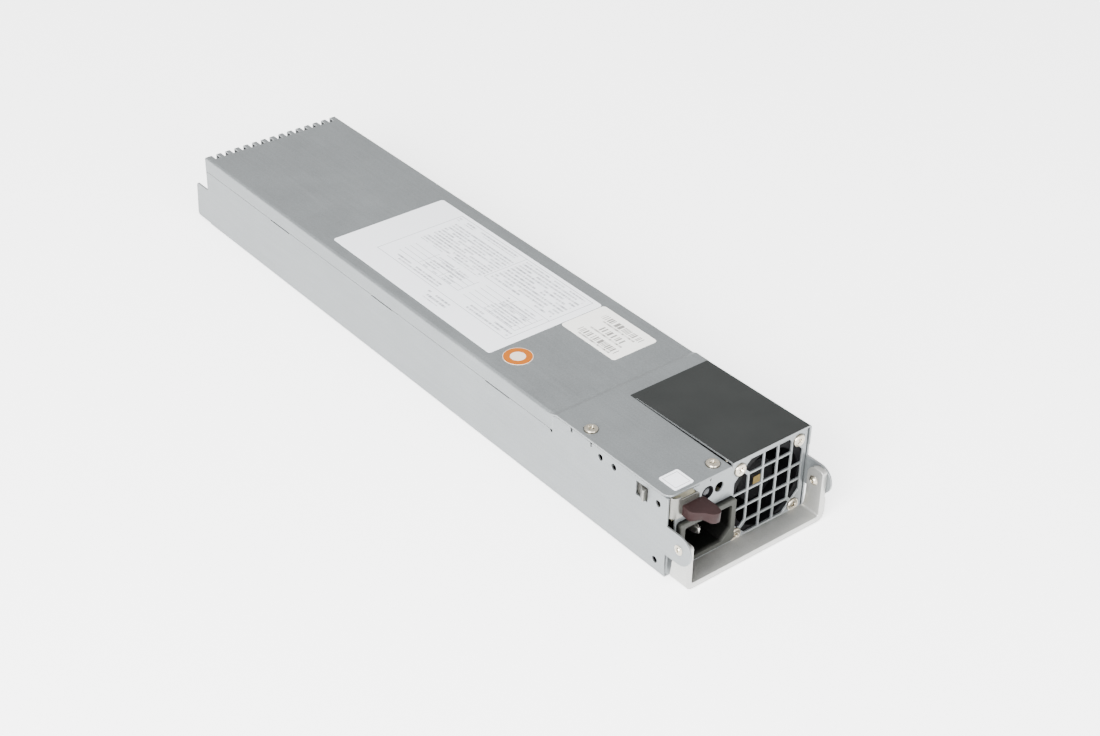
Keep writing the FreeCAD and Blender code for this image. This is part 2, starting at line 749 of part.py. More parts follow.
def fan_corners():
    """The four screw places of the fan, in the front view."""
    return [(f"fan_offset + {left} * fan_pitch / 2", f"fan_height + {low} * fan_pitch / 2")
            for left in ("-1", "1") for low in ("-1", "1")]


# Fan

def make_fan_frame(label, start):
    """A square fan frame: two flanges, a round barrel, and the motor plate on its struts."""
    body = new_body(label)
    end = f"({start} + fan_depth)"
    square = rounded(("fan_offset - fan_size / 2", "fan_offset + fan_size / 2"),
                     ("fan_height - fan_size / 2", "fan_height + fan_size / 2"), "fan_corner")
    slab(body, "XZ", start, end, ("fan_offset", "fan_height", "fan_bore_radius + 1.2"))
    slab(body, "XZ", start, f"{start} + fan_flange", square)
    slab(body, "XZ", f"{end} - fan_flange", end, square)
    slab(body, "XZ", f"{start} - 1", f"{end} + 1", ("fan_offset", "fan_height", "fan_bore_radius"), cut=True)
    slab(body, "XZ", f"{start} - 1", f"{end} + 1",
         *[spot + ("fan_hole_radius",) for spot in fan_corners()], cut=True)
    plate = f"{end} - motor_plate"
    slab(body, "XZ", plate, end, block(
        ("fan_offset - fan_bore_radius - 0.5", "fan_offset + fan_bore_radius + 0.5"),
        ("fan_height - strut_width / 2", "fan_height + strut_width / 2")))
    slab(body, "XZ", plate, end, block(
        ("fan_offset - strut_width / 2", "fan_offset + strut_width / 2"),
        ("fan_height - fan_bore_radius - 0.5", "fan_height + fan_bore_radius + 0.5")))
    slab(body, "XZ", plate, end, ("fan_offset", "fan_height", "motor_radius"))
    slab(body, "XZ", f"{plate} - bearing_length", f"{plate} + 0.1",
         ("fan_offset", "fan_height", "bearing_radius"))
    slab(body, "XZ", f"{plate} - bearing_length - 1", f"{plate} + 1",
         ("fan_offset", "fan_height", "shaft_radius + shaft_clearance"), cut=True)
    return finish(body, label)


def make_fan_rotor(label, start, hand):
    """A hub cup on its shaft, with twisted blades whose tips are trimmed to the bore."""
    body = new_body(label)
    plate = "(fan_depth - motor_plate)"
    nose = f"({plate} - 0.6 - hub_length)"
    slab(body, "XZ", nose, f"{plate} - 0.6", ("0", "0", "hub_radius"))
    slab(body, "XZ", f"{nose} + hub_wall", f"{plate} + 1", ("0", "0", "hub_radius - hub_wall"), cut=True)
    slab(body, "XZ", nose, f"{plate} + 0.4", ("0", "0", "shaft_radius"))
    sections = []
    for radius, chord, rise in (("hub_radius - 0.4", "6.4", "5.2"), ("fan_bore_radius + 0.6", "4.6", "6.6")):
        sketch = drawing(body, "YZ", radius)
        middle = f"{nose} + hub_length / 2"
        lean = f"{hand} * {rise} / 2"
        outline(sketch, [
            (f"{middle} - {chord}", f"-({lean}) - blade_thickness / 2"),
            (f"{middle} + {chord}", f"{lean} - blade_thickness / 2"),
            (f"{middle} + {chord}", f"{lean} + blade_thickness / 2"),
            (f"{middle} - {chord}", f"-({lean}) + blade_thickness / 2")])
        sections.append(sketch)
    blade = body.newObject("PartDesign::AdditiveLoft", "blade")
    blade.Profile = sections[0]
    blade.Sections = [sections[1]]
    blade.Ruled = True
    doc.recompute()
    ring = body.newObject("PartDesign::PolarPattern", "blades")
    ring.Originals = [blade]
    ring.Axis = (plane(body, "Y_Axis"), [""])
    ring.Angle = 360
    ring.setExpression("Occurrences", formula("blade_count"))
    body.Tip = ring
    doc.recompute()
    slab(body, "XZ", f"{nose} - 5", f"{plate} + 5", ("0", "0", "fan_bore_radius + 8"),
         ("0", "0", "fan_bore_radius - blade_gap"), cut=True)
    place(body, "fan_offset", start, "fan_height")
    return finish(body, label)


# Screws and rivets

def make_screw(name, axis, spot, length):
    """A pan head screw with a cross recess. Its shank runs along the axis from under the head."""
    body = new_body(name)
    slab(body, "XY", "-screw_head", "0", ("0", "0", "screw_head_radius"))
    top = number("-screw_head")
    soften(body, "screw_head * 0.45", lambda edge: near(edge.CenterOfMass.z, top), "Chamfer")
    slab(body, "XY", "-0.1", length, ("0", "0", "screw_radius"))
    for long_side, short_side in (("recess_span", "recess_width"), ("recess_width", "recess_span")):
        slab(body, "XY", "-screw_head - 0.1", "recess_depth - screw_head", block(
            (f"-{long_side} / 2", f"{long_side} / 2"),
            (f"-{short_side} / 2", f"{short_side} / 2")), cut=True)
    body.Placement.Rotation = TURNS[axis]
    place(body, *spot)
    return body


def make_fan_screws():
    """Four screws through the front panel into the front fan frame."""
    return group("fan_screws", [
        make_screw(f"fan_screw_{index}", "Y", (across, "front + dimple_depth", up), "screw_length")
        for index, (across, up) in enumerate(fan_corners(), 1)])


def make_cover_screws():
    """Two screws down through the cover, into the tray's tab and the front panel's tab."""
    spots = [("-rear_screw_x", "front + rear_screw_y"), ("-front_screw_x", "front + front_screw_y")]
    screws = []
    for index, (across, along) in enumerate(spots, 1):
        screw = make_screw(f"cover_screw_{index}", "Z", (across, along, "front_top - dimple_depth"), "4")
        screw.Placement.Rotation = Rotation(Vector(1, 0, 0), 180)
        screws.append(screw)
    return group("cover_screws", screws)


def make_handle_rivets():
    """A headed rivet through each ear and handle cheek."""
    rivets = []
    for side, name in (("-1", "left"), ("1", "right")):
        body = new_body(f"{name}_rivet")
        ends = (f"{side} * (half + rivet_head)", f"{side} * half", f"{side} * (cheek_inner - 0.2)",
                f"{side} * (cheek_inner - 0.2 - rivet_head)")
        order = ends if side == "-1" else ends[::-1]
        spot = ("pivot_y", "pivot_height")
        slab(body, "YZ", order[0], order[1], spot + ("rivet_head_radius",))
        slab(body, "YZ", order[1], order[2], spot + ("rivet_radius",))
        slab(body, "YZ", order[2], order[3], spot + ("rivet_head_radius",))
        collar = sorted((f"{side} * inner", f"{side} * (cheek_outer + 0.15)"), key=number)
        slab(body, "YZ", *collar, spot + ("rivet_collar",))
        rivets.append(body)
    return group("handle_rivets", rivets)


# Handle

def make_handle():
    """The U-shaped bail: cheeks inside the ears, joggled outwards lower down."""
    body = new_body("handle")
    wide = "(cheek_outer + handle_splay)"
    narrow = "(cheek_inner + handle_splay)"
    outer = [("cheek_outer", "handle_top"), ("cheek_outer", "handle_joggle_top"),
             (wide, "handle_joggle_low"), (wide, "handle_bottom", "handle_round")]
    inside = [(narrow, "handle_bottom + handle_sheet", "handle_round - handle_sheet"),
              (narrow, "handle_joggle_low"), ("cheek_inner", "handle_joggle_top"),
              ("cheek_inner", "handle_top")]
    left = [(f"-{corner[0]}",) + corner[1:] for corner in outer]
    right = outer[::-1]
    left_inside = [(f"-{corner[0]}",) + corner[1:] for corner in inside]
    right_inside = inside[::-1]
    slab(body, "XZ", "pivot_y - handle_front", "pivot_y + handle_rear",
         left + right + right_inside + left_inside)
    slab(body, "YZ", "-half - 1", "half + 1",
         ("pivot_y", "pivot_height", "rivet_radius + rivet_clearance"), cut=True)
    top = number("handle_top")
    front_edge = number("pivot_y - handle_front")
    rear_edge = number("pivot_y + handle_rear")
    soften(body, "handle_rear_round", lambda edge: runs_along(edge, "x")
           and near(edge.CenterOfMass.z, top) and near(edge.CenterOfMass.y, rear_edge))
    soften(body, "handle_front_round", lambda edge: runs_along(edge, "x")
           and near(edge.CenterOfMass.z, top) and near(edge.CenterOfMass.y, front_edge))
    levels = (number("handle_bottom"), number("handle_bottom + handle_sheet"))
    soften(body, "handle_edge", lambda edge: runs_along(edge, "x")
           and near(edge.CenterOfMass.y, front_edge)
           and any(near(edge.CenterOfMass.z, level) for level in levels))
    return finish(body, "handle")


# Mains inlet

def inlet_box(width, height):
    return (f"-inlet_x - {width} / 2", f"-inlet_x + {width} / 2"), (f"inlet_z - {height} / 2", f"inlet_z + {height} / 2")


def blade_spots():
    """The three blades: line and neutral above, earth between and below."""
    return [("-inlet_x - blade_pitch", "inlet_z + blade_row"), ("-inlet_x + blade_pitch", "inlet_z + blade_row"),
            ("-inlet_x", "inlet_z - blade_row")]


def blade_loop(spot, fit):
    across, up = spot
    return block((f"{across} - blade_width / 2 - {fit}", f"{across} + blade_width / 2 + {fit}"),
                 (f"{up} - blade_height / 2 - {fit}", f"{up} + blade_height / 2 + {fit}"))


def make_inlet_housing():
    """The moulded inlet: rim, shroud with two cut corners on the earth side, and a closed back."""
    body = new_body("inlet_housing")
    rim = inlet_box("inlet_flange_width", "inlet_flange_height")
    slab(body, "XZ", "inlet_front", "front", rounded(*rim, "1.6"))
    rim_face = number("inlet_front")
    soften(body, "0.5", lambda edge: near(edge.CenterOfMass.y, rim_face))
    shell = inlet_box("inlet_body_width", "inlet_body_height")
    slab(body, "XZ", "front - 0.5", "front + inlet_body_depth", rounded(*shell, "1"))
    (left, right), (low, high) = inlet_box("cavity_width", "cavity_height")
    slab(body, "XZ", "inlet_front - 1", "inlet_front + cavity_depth", [
        (left, high, "1"), (left, f"{low} + cavity_chamfer"), (f"{left} + cavity_chamfer", low),
        (f"{right} - cavity_chamfer", low), (right, f"{low} + cavity_chamfer"), (right, high, "1")], cut=True)
    slab(body, "XZ", "front", "front + inlet_body_depth + 1",
         *[blade_loop(spot, "blade_fit") for spot in blade_spots()], cut=True)
    return finish(body, "inlet_housing")


def make_inlet_blades():
    """The line, neutral and earth blades, each a node of its own."""
    for label, spot in zip(("line_blade", "neutral_blade", "earth_blade"), blade_spots()):
        body = new_body(label)
        lead = "blade_recess - 1.5" if label == "earth_blade" else "blade_recess"
        slab(body, "XZ", f"inlet_front + {lead}", "front + inlet_body_depth + blade_tail",
             blade_loop(spot, "0"))
        tip = number(f"inlet_front + {lead}")
        soften(body, "0.6", lambda edge: near(edge.CenterOfMass.y, tip), "Chamfer")
        finish(body, label)


def make_inlet_guard():
    """The folded insulating sheet over the inlet: it stands up behind the latch window."""
    body = new_body("inlet_guard")
    shell_top = "(inlet_z + inlet_body_height / 2)"
    rear_end = "(front + inlet_body_depth + blade_tail + 4)"
    left = "-inlet_x - guard_half"
    beside_fan = "fan_offset - fan_size / 2 - 0.5"
    slab(body, "XY", shell_top, f"{shell_top} + inlet_guard", block(
        (left, beside_fan), ("front + guard_front", rear_end)))
    slab(body, "XZ", "front + guard_front", "front + guard_front + inlet_guard", block(
        (left, "-lens_x - lens_radius - 1"), (shell_top, "guard_top")))
    slab(body, "XZ", f"{rear_end} - inlet_guard", rear_end, block(
        (left, beside_fan), ("2", f"{shell_top} + inlet_guard")))
    return finish(body, "inlet_guard")


# Latch

def make_latch_spring():
    """The leaf: its foot on the stud, the catch in the side window, and the tongue in front."""
    body = new_body("latch_spring")
    slab(body, "XY", "leaf_low", "leaf_high", [
        ("-leaf_outer", "latch_y + latch_tail"), ("-leaf_outer", "front - leaf_front", "leaf_bend"),
        ("-leaf_end", "front - leaf_front"), ("-leaf_end", "front - leaf_front + leaf_thickness"),
        ("-leaf_inner", "front - leaf_front + leaf_thickness", "leaf_bend - leaf_thickness"),
        ("-leaf_inner", "latch_y + latch_tail")])
    slab(body, "XY", "catch_low", "catch_high", [
        ("-leaf_outer + 0.1", "front + catch_rear"), ("-half - catch_reach", "front + catch_front + catch_flat"),
        ("-half - catch_reach", "front + catch_front"), ("-leaf_outer + 0.1", "front + catch_front")])
    slab(body, "XZ", "front - leaf_front - 1", "front", block(
        ("-leaf_outer + leaf_bend + 1", "-leaf_end + 1"), ("leaf_tongue_high", "leaf_high + 1")), cut=True)
    slab(body, "YZ", "-leaf_outer - 1", "-leaf_inner + 1",
         ("latch_y", "(leaf_low + leaf_high) / 2", "stud_radius + stud_clearance"),
         ("front + 6.3", "33", "side_hole_radius + 1.3"), cut=True)
    return finish(body, "latch_spring")


def make_latch_tab():
    """The finger tab on the front of the tongue: a thick fin that leans to the right, hollowed for the thumb."""
    body = new_body("latch_tab")
    left = "(-leaf_end - tab_width)"
    face = "front - leaf_front"
    slab(body, "XY", "tab_low", "tab_high", [
        (left, face), (f"{left} - 0.1", "front - 6.4", "1.6"), (f"{left} + 2.6", "front - 9.2", "6"),
        (f"{left} + 5.6", "front - finger_reach + 0.4", "2"), (f"{left} + 9.6", "front - finger_reach", "1.8"),
        (f"{left} + 10.5", "front - 8.4", "5"), (f"{left} + 10.3", "front - 3.5", "0.6"),
        (f"{left} + 9", face)])
    levels = (number("tab_low"), number("tab_high"))
    front_face = number(face)
    soften(body, "0.5", lambda edge: any(near(edge.CenterOfMass.z, level) for level in levels)
           and not near(edge.CenterOfMass.y, front_face))
    return finish(body, "latch_tab")


def make_latch_stud():
    """The headed stud on the left wall that carries the leaf."""
    body = new_body("latch_stud")
    spot = ("latch_y", "(leaf_low + leaf_high) / 2")
    slab(body, "YZ", "-inner", "-leaf_inner + stud_play", spot + ("stud_radius",))
    slab(body, "YZ", "-leaf_inner + stud_play", "-leaf_inner + stud_play + stud_head",
         spot + ("stud_head_radius",))
    return finish(body, "latch_stud")


def make_status_lens():
    """The round light pipe beside the latch: a collar and its core."""
    body = new_body("status_lens")
    spot = ("-lens_x", "lens_z")
    slab(body, "XZ", "front - lens_proud", "front + sheet", spot + ("lens_radius",))
    slab(body, "XZ", "front + sheet", "front + sheet + 1", spot + ("lens_radius + 0.7",))
    slab(body, "XZ", "front + sheet + 0.9", "front + lens_depth", spot + ("lens_core",))
    slab(body, "XZ", "front - lens_proud - 1", "front - lens_proud + 0.15",
         spot + ("lens_radius - 0.5",), spot + ("lens_core",), cut=True)
    return finish(body, "status_lens")


# Board and inner parts

def board_corners():
    """The places of the six board screws and standoffs."""
    margin = "standoff_margin"
    rows = (f"board_front + {margin}", "(board_front + board_rear) / 2", f"board_rear - {margin}")
    return [(f"{side} * (board_half - {margin} / 2)", along) for side in ("-1", "1") for along in rows]


def make_board():
    """Insulation sheet, standoffs, screws, and the main board with its contact tongue."""
    sheet_body = new_body("insulation_sheet")
    slab(sheet_body, "XY", "sheet", "sheet + insulation", block(
        ("-board_half", "board_half"), ("board_front", "board_rear")),
        *[spot + ("standoff_radius + 0.1",) for spot in board_corners()])
    finish(sheet_body, "insulation_sheet")
    board = new_body("main_board")
    slab(board, "XY", "board_height", "board_top", [
        ("-board_half", "board_front"), ("board_half", "board_front"), ("board_half", "board_rear"),
        ("tongue_half", "board_rear"), ("tongue_half", "tongue_rear"), ("-tongue_half", "tongue_rear"),
        ("-tongue_half", "board_rear"), ("-board_half", "board_rear")],
        *[spot + ("board_screw_radius + 0.1",) for spot in board_corners()])
    finish(board, "main_board")
    group("board_standoffs", [
        rod(f"standoff_{index}", "Z", (across, along, "sheet"), "standoff_radius", "board_height - sheet")
        for index, (across, along) in enumerate(board_corners(), 1)])
    screws = []
    for index, (across, along) in enumerate(board_corners(), 1):
        head = rod(f"board_head_{index}", "Z", (across, along, "board_top"), "board_screw_head",
                   "board_screw_head_height")
        shank = rod(f"board_shank_{index}", "Z", (across, along, "board_height"),
                    "board_screw_radius", "board_thickness")
        screws.append(join(f"board_screw_{index}", [head, shank]))
    group("board_screws", screws)
    contacts = []
    for index in range(int(number("contact_count"))):
        across = f"(-contact_pitch * (contact_count - 1) / 2 + {index} * contact_pitch)"
        for level, name in (("board_top", "upper"), ("board_height - contact_thickness", "lower")):
            contacts.append(box(f"{name}_contact_{index}",
                                (f"{across} - contact_width / 2", f"{across} + contact_width / 2"),
                                ("tongue_rear - contact_length - 0.6", "tongue_rear - 0.6"),
                                (level, f"{level} + contact_thickness")))
    group("edge_contacts", contacts)


def standing(name, spot, radius, height):
    """A round part that stands on the board."""
    return rod(name, "Z", (spot[0], spot[1], "board_top"), radius, height)


def ring_choke(label, spot, outer, inner_radius, depth):
    """A wound ring that stands upright on a foot plate."""
    across, along = spot
    body = new_body(label)
    slab(body, "XZ", "0", depth, ("0", f"{outer} + 1", outer), ("0", f"{outer} + 1", inner_radius))
    soften(body, "2", lambda edge: True, "Chamfer")
    slab(body, "XY", "0", "1.2", block((f"-{outer} * 0.7", f"{outer} * 0.7"), ("-0.8", f"{depth} + 0.8")))
    place(body, across, along, "board_top")
    return finish(body, label)


def make_inner_parts():
    """The parts of the converter that stand on the main board, front to rear."""
    start = "board_front"
    body = new_body("mains_fuse")
    slab(body, "XY", "0", "8", rounded(("-13", "13"), ("-3.5", "3.5"), "1"))
    place(body, "-16", f"{start} + 8", "board_top")
    finish(body, "mains_fuse")
    ring_choke("filter_choke", ("-18", f"{start} + 16"), "11.5", "5.5", "12")
    capacitors = []
    for index in range(3):
        low = f"({start} + 13 + {index} * 9.5)"
        capacitor = new_body(f"filter_capacitor_{index}")
        slab(capacitor, "XY", "0", "17", rounded(("-12.5", "12.5"), ("0", "8"), "0.8"))
        place(capacitor, "18", low, "board_top")
        capacitors.append(capacitor)
    group("filter_capacitors", capacitors)
    relay = new_body("inrush_relay")
    slab(relay, "XY", "0", "15", rounded(("-7", "7"), ("0", "10"), "0.8"))
    place(relay, "-24", f"{start} + 33", "board_top")
    finish(relay, "inrush_relay")
    make_heatsink("primary_heatsink", "-30", f"{start} + 47", "52", "room - 5.3")
    rectifier = new_body("bridge_rectifier")
    slab(rectifier, "XY", "2", "20", rounded(("0", "4.5"), ("0", "26"), "0.6"))
    slab(rectifier, "XY", "0", "2.2", block(("1.7", "2.7"), ("2", "4")), block(("1.7", "2.7"), ("22", "24")))
    place(rectifier, "-28", f"{start} + 50", "board_top")
    finish(rectifier, "bridge_rectifier")
    ring_choke("power_factor_choke", ("10", f"{start} + 48"), "(room / 2 - 1.15)", "7", "20")
    make_bulk_capacitors(start)
    make_transformer(start)
    make_heatsink("rectifier_heatsink", "22", f"{start} + 182", "58", "room - 7.3")
    outputs = []
    for line in range(2):
        for index in range(5):
            can = standing(f"output_capacitor_{line}_{index}",
                           (f"-30 + {line} * 11", f"{start} + 188 + {index} * 11"), "4.9", "18")
            outputs.append(can)
    group("output_capacitors", outputs)
    ring_choke("output_choke", ("0", f"{start} + 186"), "12", "5.5", "14")
    control = new_body("control_board")
    slab(control, "YZ", "0", "1.2", block(("0", "46"), ("0", "26")))
    place(control, "8", f"{start} + 204", "board_top")
    finish(control, "control_board")
    bars = [box(f"bus_bar_{index}", (f"-9 + {index} * 8", f"-4 + {index} * 8"),
                (f"{start} + 212", f"{start} + 252"), ("board_top", "board_top + 3")) for index in range(2)]
    group("bus_bars", bars)
    plug = new_body("fan_plug")
    slab(plug, "XY", "0", "7", rounded(("-6", "6"), ("0", "5.5"), "0.5"))
    place(plug, "20", f"{start} + 2", "board_top")
    finish(plug, "fan_plug")


def make_heatsink(label, across, along, length, height):
    """An upright plate with fins along it."""
    body = new_body(label)
    slab(body, "XZ", "0", length, block(("0", "2"), ("0", height)))
    fin = slab(body, "XZ", "0", length, block(("-4.5", "0.2"), ("2", "3.2")))
    row(body, fin, "Z", "4.4", "5")
    place(body, across, along, "board_top")
    return finish(body, label)


def make_bulk_capacitors(start):
    """Two large capacitors lying across the board, with rounded can edges."""
    cans = []
    for index in range(2):
        can = new_body(f"bulk_capacitor_{index}")
        slab(can, "YZ", "-24", "24", ("0", "room / 2 - 0.65", "room / 2 - 0.85"))
        soften(can, "1.2", lambda edge: abs(edge.CenterOfMass.x) > 23, "Chamfer")
        place(can, "4", f"{start} + 117.5 + {index} * 30.4", "board_top - 0.2")
        cans.append(can)
    group("bulk_capacitors", cans)


def make_transformer(start):
    """A ferrite core of two E halves round its winding."""
    core = new_body("transformer_core")
    top = "(room - 1.3)"
    slab(core, "YZ", "-11", "11", block(("0", "30"), ("2", top)), block(("5", "11"), ("7", f"{top} - 5")),
         block(("19", "25"), ("7", f"{top} - 5")))
    place(core, "-4", f"{start} + 72", "board_top")
    place_front = f"{start} + 72"
    finish(core, "transformer_core")
    winding = new_body("transformer_winding")
    slab(winding, "XY", "7.4", f"{top} - 5.4", rounded(("-15", "15"), ("5.4", "24.6"), "3"))
    slab(winding, "XY", "6", f"{top} - 4", block(("-11.3", "11.3"), ("10.7", "19.3")), cut=True)
    place(winding, "-4", place_front, "board_top")
    finish(winding, "transformer_winding")


# Labels

def make_label(label, across, along, level, radius):
    """A thin label with rounded corners, stuck on the cover."""
    body = new_body(label)
    slab(body, "XY", level, f"{level} + label_thickness", rounded(across, along, radius))
    return finish(body, label)


def make_labels():
    """The large label, the small one in front of it, the corner label and the round sticker."""
    make_label("rating_label", ("-31.8", "30.2"), ("front + 120.2", "front + 238.8"), "cover_height",
               "label_round")
    make_label("barcode_label", ("6.3", "30.7"), ("front + 84.4", "front + 119.7"), "cover_height",
               "label_round")
    make_label("corner_label", ("-33.2", "-23.3"), ("front + 1.4", "front + 11.3"), "front_top", "1")
    sticker = new_body("round_sticker")
    slab(sticker, "XY", "cover_height", "cover_height + label_thickness",
         ("-23.6", "front + 111", "sticker_radius"))
    finish(sticker, "round_sticker")


make_base_tray()
make_top_cover()
make_fan_film()
make_front_panel()
make_fan_frame("front_fan_frame", "fan_front")
make_fan_frame("rear_fan_frame", "(fan_front + fan_depth + fan_gap)")
make_fan_rotor("front_fan_rotor", "fan_front", "1")
make_fan_rotor("rear_fan_rotor", "fan_front + fan_depth + fan_gap", "-1")
make_fan_screws()
make_cover_screws()
make_handle()
make_handle_rivets()
make_inlet_housing()
make_inlet_blades()
make_inlet_guard()
make_latch_spring()
make_latch_tab()
make_latch_stud()
make_status_lens()
make_board()
make_inner_parts()
make_labels()
doc.recompute()

# Every object must be sound before anything is written
for item in doc.Objects:
    if "Invalid" in item.State or "Error" in item.State:
        raise RuntimeError(f"{item.Label} ({item.Name}) failed: {item.State}")
for piece in finished:
    shape = piece.Shape
    if shape.isNull() or not shape.isValid() or not shape.Solids:
        raise RuntimeError(f"{piece.Label} has no sound shape")

os.makedirs("parts", exist_ok=True)
for piece in finished:
    piece.Shape.exportStep(f"parts/{piece.Label}.step")
    print(piece.Label, len(piece.Shape.Solids), round(piece.Shape.Volume, 1))
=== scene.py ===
import json
import math

import bmesh
import bpy
from mathutils import Matrix, Vector


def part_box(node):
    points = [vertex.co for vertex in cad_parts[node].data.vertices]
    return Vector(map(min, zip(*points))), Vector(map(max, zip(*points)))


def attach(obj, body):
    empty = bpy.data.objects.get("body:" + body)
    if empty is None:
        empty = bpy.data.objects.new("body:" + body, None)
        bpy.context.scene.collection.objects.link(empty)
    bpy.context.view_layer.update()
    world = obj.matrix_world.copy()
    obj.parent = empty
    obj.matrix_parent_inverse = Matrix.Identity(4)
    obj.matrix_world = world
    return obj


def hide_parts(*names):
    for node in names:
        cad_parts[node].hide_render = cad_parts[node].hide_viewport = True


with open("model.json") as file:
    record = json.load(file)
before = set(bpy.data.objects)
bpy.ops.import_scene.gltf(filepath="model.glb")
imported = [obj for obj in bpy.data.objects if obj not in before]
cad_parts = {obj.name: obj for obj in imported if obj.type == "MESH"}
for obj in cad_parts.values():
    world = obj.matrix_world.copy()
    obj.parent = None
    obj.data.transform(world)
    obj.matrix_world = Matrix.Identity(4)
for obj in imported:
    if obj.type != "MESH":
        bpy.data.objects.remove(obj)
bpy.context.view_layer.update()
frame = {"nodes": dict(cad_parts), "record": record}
nodes = frame["nodes"]

MM = 0.001
CASE_LENGTH = 0.344
FRONT = -CASE_LENGTH / 2

# Camera, from the case edges in the photograph: degrees, metres, and lens for a 36 mm wide frame
CAMERA_PLACE = (-0.43697, -0.58932, 0.48462)
CAMERA_TURN = -39.193
CAMERA_TILT = 33.955
CAMERA_ROLL = 1.1665
CAMERA_LENS = 63.073

# Screws, status light, and the pivot of the handle, in metres
SCREW_HEAD_RADIUS = 2.9 * MM
SCREW_HEAD_HEIGHT = 1.2 * MM
SCREW_SHANK_RADIUS = 1.45 * MM
THREAD_STEP = 0.25 * MM
THREAD_RISE = 0.12 * MM
STATUS_LIGHT = (-17.25 * MM, FRONT, 31.95 * MM)
PIVOT = (FRONT - 7.5 * MM, 18.6 * MM)
RIVET_HOLE_RADIUS = 1.56 * MM

# Handle, in millimetres: places along the case, distances from its middle plane, heights
HANDLE_FRONT = -184.1
BASE_REAR = -174.1
CHEEK_REAR = -175.9
CHEEK_INSIDE = 34.3
CHEEK_OUTSIDE = 37.0
SPLAY_OUTSIDE = 37.6
LEFT_CHEEK_TOP = 21.4
RIGHT_CHEEK_TOP = 24.8
CHEEK_CROWN = 4.0
SPLAY_START = 12.0

LABEL_WHITE = (0.82, 0.835, 0.87)


class Value:
    """A socket of a finish, with arithmetic."""

    def __init__(self, finish, socket):
        self.finish = finish
        self.socket = socket

    def math(self, operation, *terms):
        """The result of a Math node on these values or numbers."""
        return self.finish.node("ShaderNodeMath", {"operation": operation}, dict(enumerate(terms)))

    def __add__(self, other):
        return self.math("ADD", self, other)

    def __radd__(self, other):
        return self.math("ADD", other, self)

    def __sub__(self, other):
        return self.math("SUBTRACT", self, other)

    def __rsub__(self, other):
        return self.math("SUBTRACT", other, self)

    def __mul__(self, other):
        return self.math("MULTIPLY", self, other)

    def __rmul__(self, other):
        return self.math("MULTIPLY", other, self)

    def __truediv__(self, other):
        return self.math("DIVIDE", self, other)

    def __rtruediv__(self, other):
        return self.math("DIVIDE", other, self)

    def __pow__(self, other):
        return self.math("POWER", self, other)

    def __rpow__(self, other):
        return self.math("POWER", other, self)

    def __gt__(self, other):
        return self.math("GREATER_THAN", self, other)

    def __lt__(self, other):
        return self.math("LESS_THAN", self, other)

    def floor(self):
        return self.math("FLOOR", self)

    def fraction(self):
        return self.math("FRACT", self)

    def root(self):
        return self.math("SQRT", self)

    def larger(self, other):
        return self.math("MAXIMUM", self, other)

    def within(self, low, high):
        """1 between the two limits and 0 outside them."""
        return (self > low) * (self < high)


class Finish:
    """A procedural material, with the node calls it needs."""

    def __init__(self, name, **shader):
        self.name = name
        self.material = bpy.data.materials.new(name)
        self.material.use_nodes = True
        self.tree = self.material.node_tree
        self.shader = self.tree.nodes["Principled BSDF"]
        self.set(**shader)

    def set(self, **shader):
        """Feed the shader's sockets: base_color stands for Base Color, and so on."""
        for name, value in shader.items():
            socket = name.replace("_", " ").title().replace("Ior", "IOR")
            self.feed(self.shader.inputs[socket], value)
        return self

    def feed(self, socket, value):
        """Link a value to the socket, or set the socket to a number, a colour or a vector."""
        if isinstance(value, Value):
            self.tree.links.new(value.socket, socket)
        elif isinstance(value, (tuple, list)) and len(value) == 3 and len(socket.default_value) == 4:
            socket.default_value = (*value, 1)
        else:
            socket.default_value = value

    def node(self, kind, settings=None, sockets=None, output=0):
        """A node of that type, its settings first, then its sockets' values or links."""
        made = self.tree.nodes.new(kind)
        for name, value in (settings or {}).items():
            setattr(made, name, value)
        for name, value in (sockets or {}).items():
            self.feed(made.inputs[name], value)
        return Value(self, made.outputs[output])

    def place(self):
        """Where the point is on the object at rest, in metres."""
        return self.node("ShaderNodeTexCoord", output=3)

    def along(self):
        """The three coordinates of the point, each a value."""
        split = self.node("ShaderNodeSeparateXYZ", sockets={0: self.place()})
        return [Value(self, split.socket.node.outputs[index]) for index in range(3)]

    def stretched(self, stretch):
        """The place, scaled along each axis."""
        return self.node("ShaderNodeMapping", sockets={"Vector": self.place(), "Scale": stretch})

    def noise(self, scale, detail=3.0, roughness=0.55, stretch=(1, 1, 1)):
        """Cloudy variation from 0 to 1, scale in features per metre."""
        return self.node("ShaderNodeTexNoise", sockets={
            "Vector": self.stretched(stretch), "Scale": scale, "Detail": detail, "Roughness": roughness})

    def spread(self, value, low, high, low_to=0.0, high_to=1.0):
        """The value's range moved to another, held at its ends."""
        return self.node("ShaderNodeMapRange", {"clamp": True}, {
            "Value": value, "From Min": low, "From Max": high, "To Min": low_to, "To Max": high_to})

    def mix(self, factor, first, second):
        """A colour between two."""
        return self.node("ShaderNodeMix", {"data_type": "RGBA"}, {0: factor, 6: first, 7: second}, output=2)

    def edges(self, radius):
        """1 on sharp edges and 0 on the faces, within that radius."""
        soft = self.node("ShaderNodeBevel", {"samples": 6}, {"Radius": radius})
        flat = self.node("ShaderNodeNewGeometry", output=1)
        dot = self.node("ShaderNodeVectorMath", {"operation": "DOT_PRODUCT"}, {0: soft, 1: flat}, output=1)
        return self.spread(dot, 0.98, 0.75)

    def relief(self, height, distance, strength=1.0, round_edges=0.0):
        """Feed the normal from a height in 0 to 1, on edges that look rounded."""
        sockets = {"Height": height, "Distance": distance, "Strength": strength}
        if round_edges:
            sockets["Normal"] = self.node("ShaderNodeBevel", {"samples": 4}, {"Radius": round_edges})
        self.set(normal=self.node("ShaderNodeBump", sockets=sockets))
        return self


# Finishes

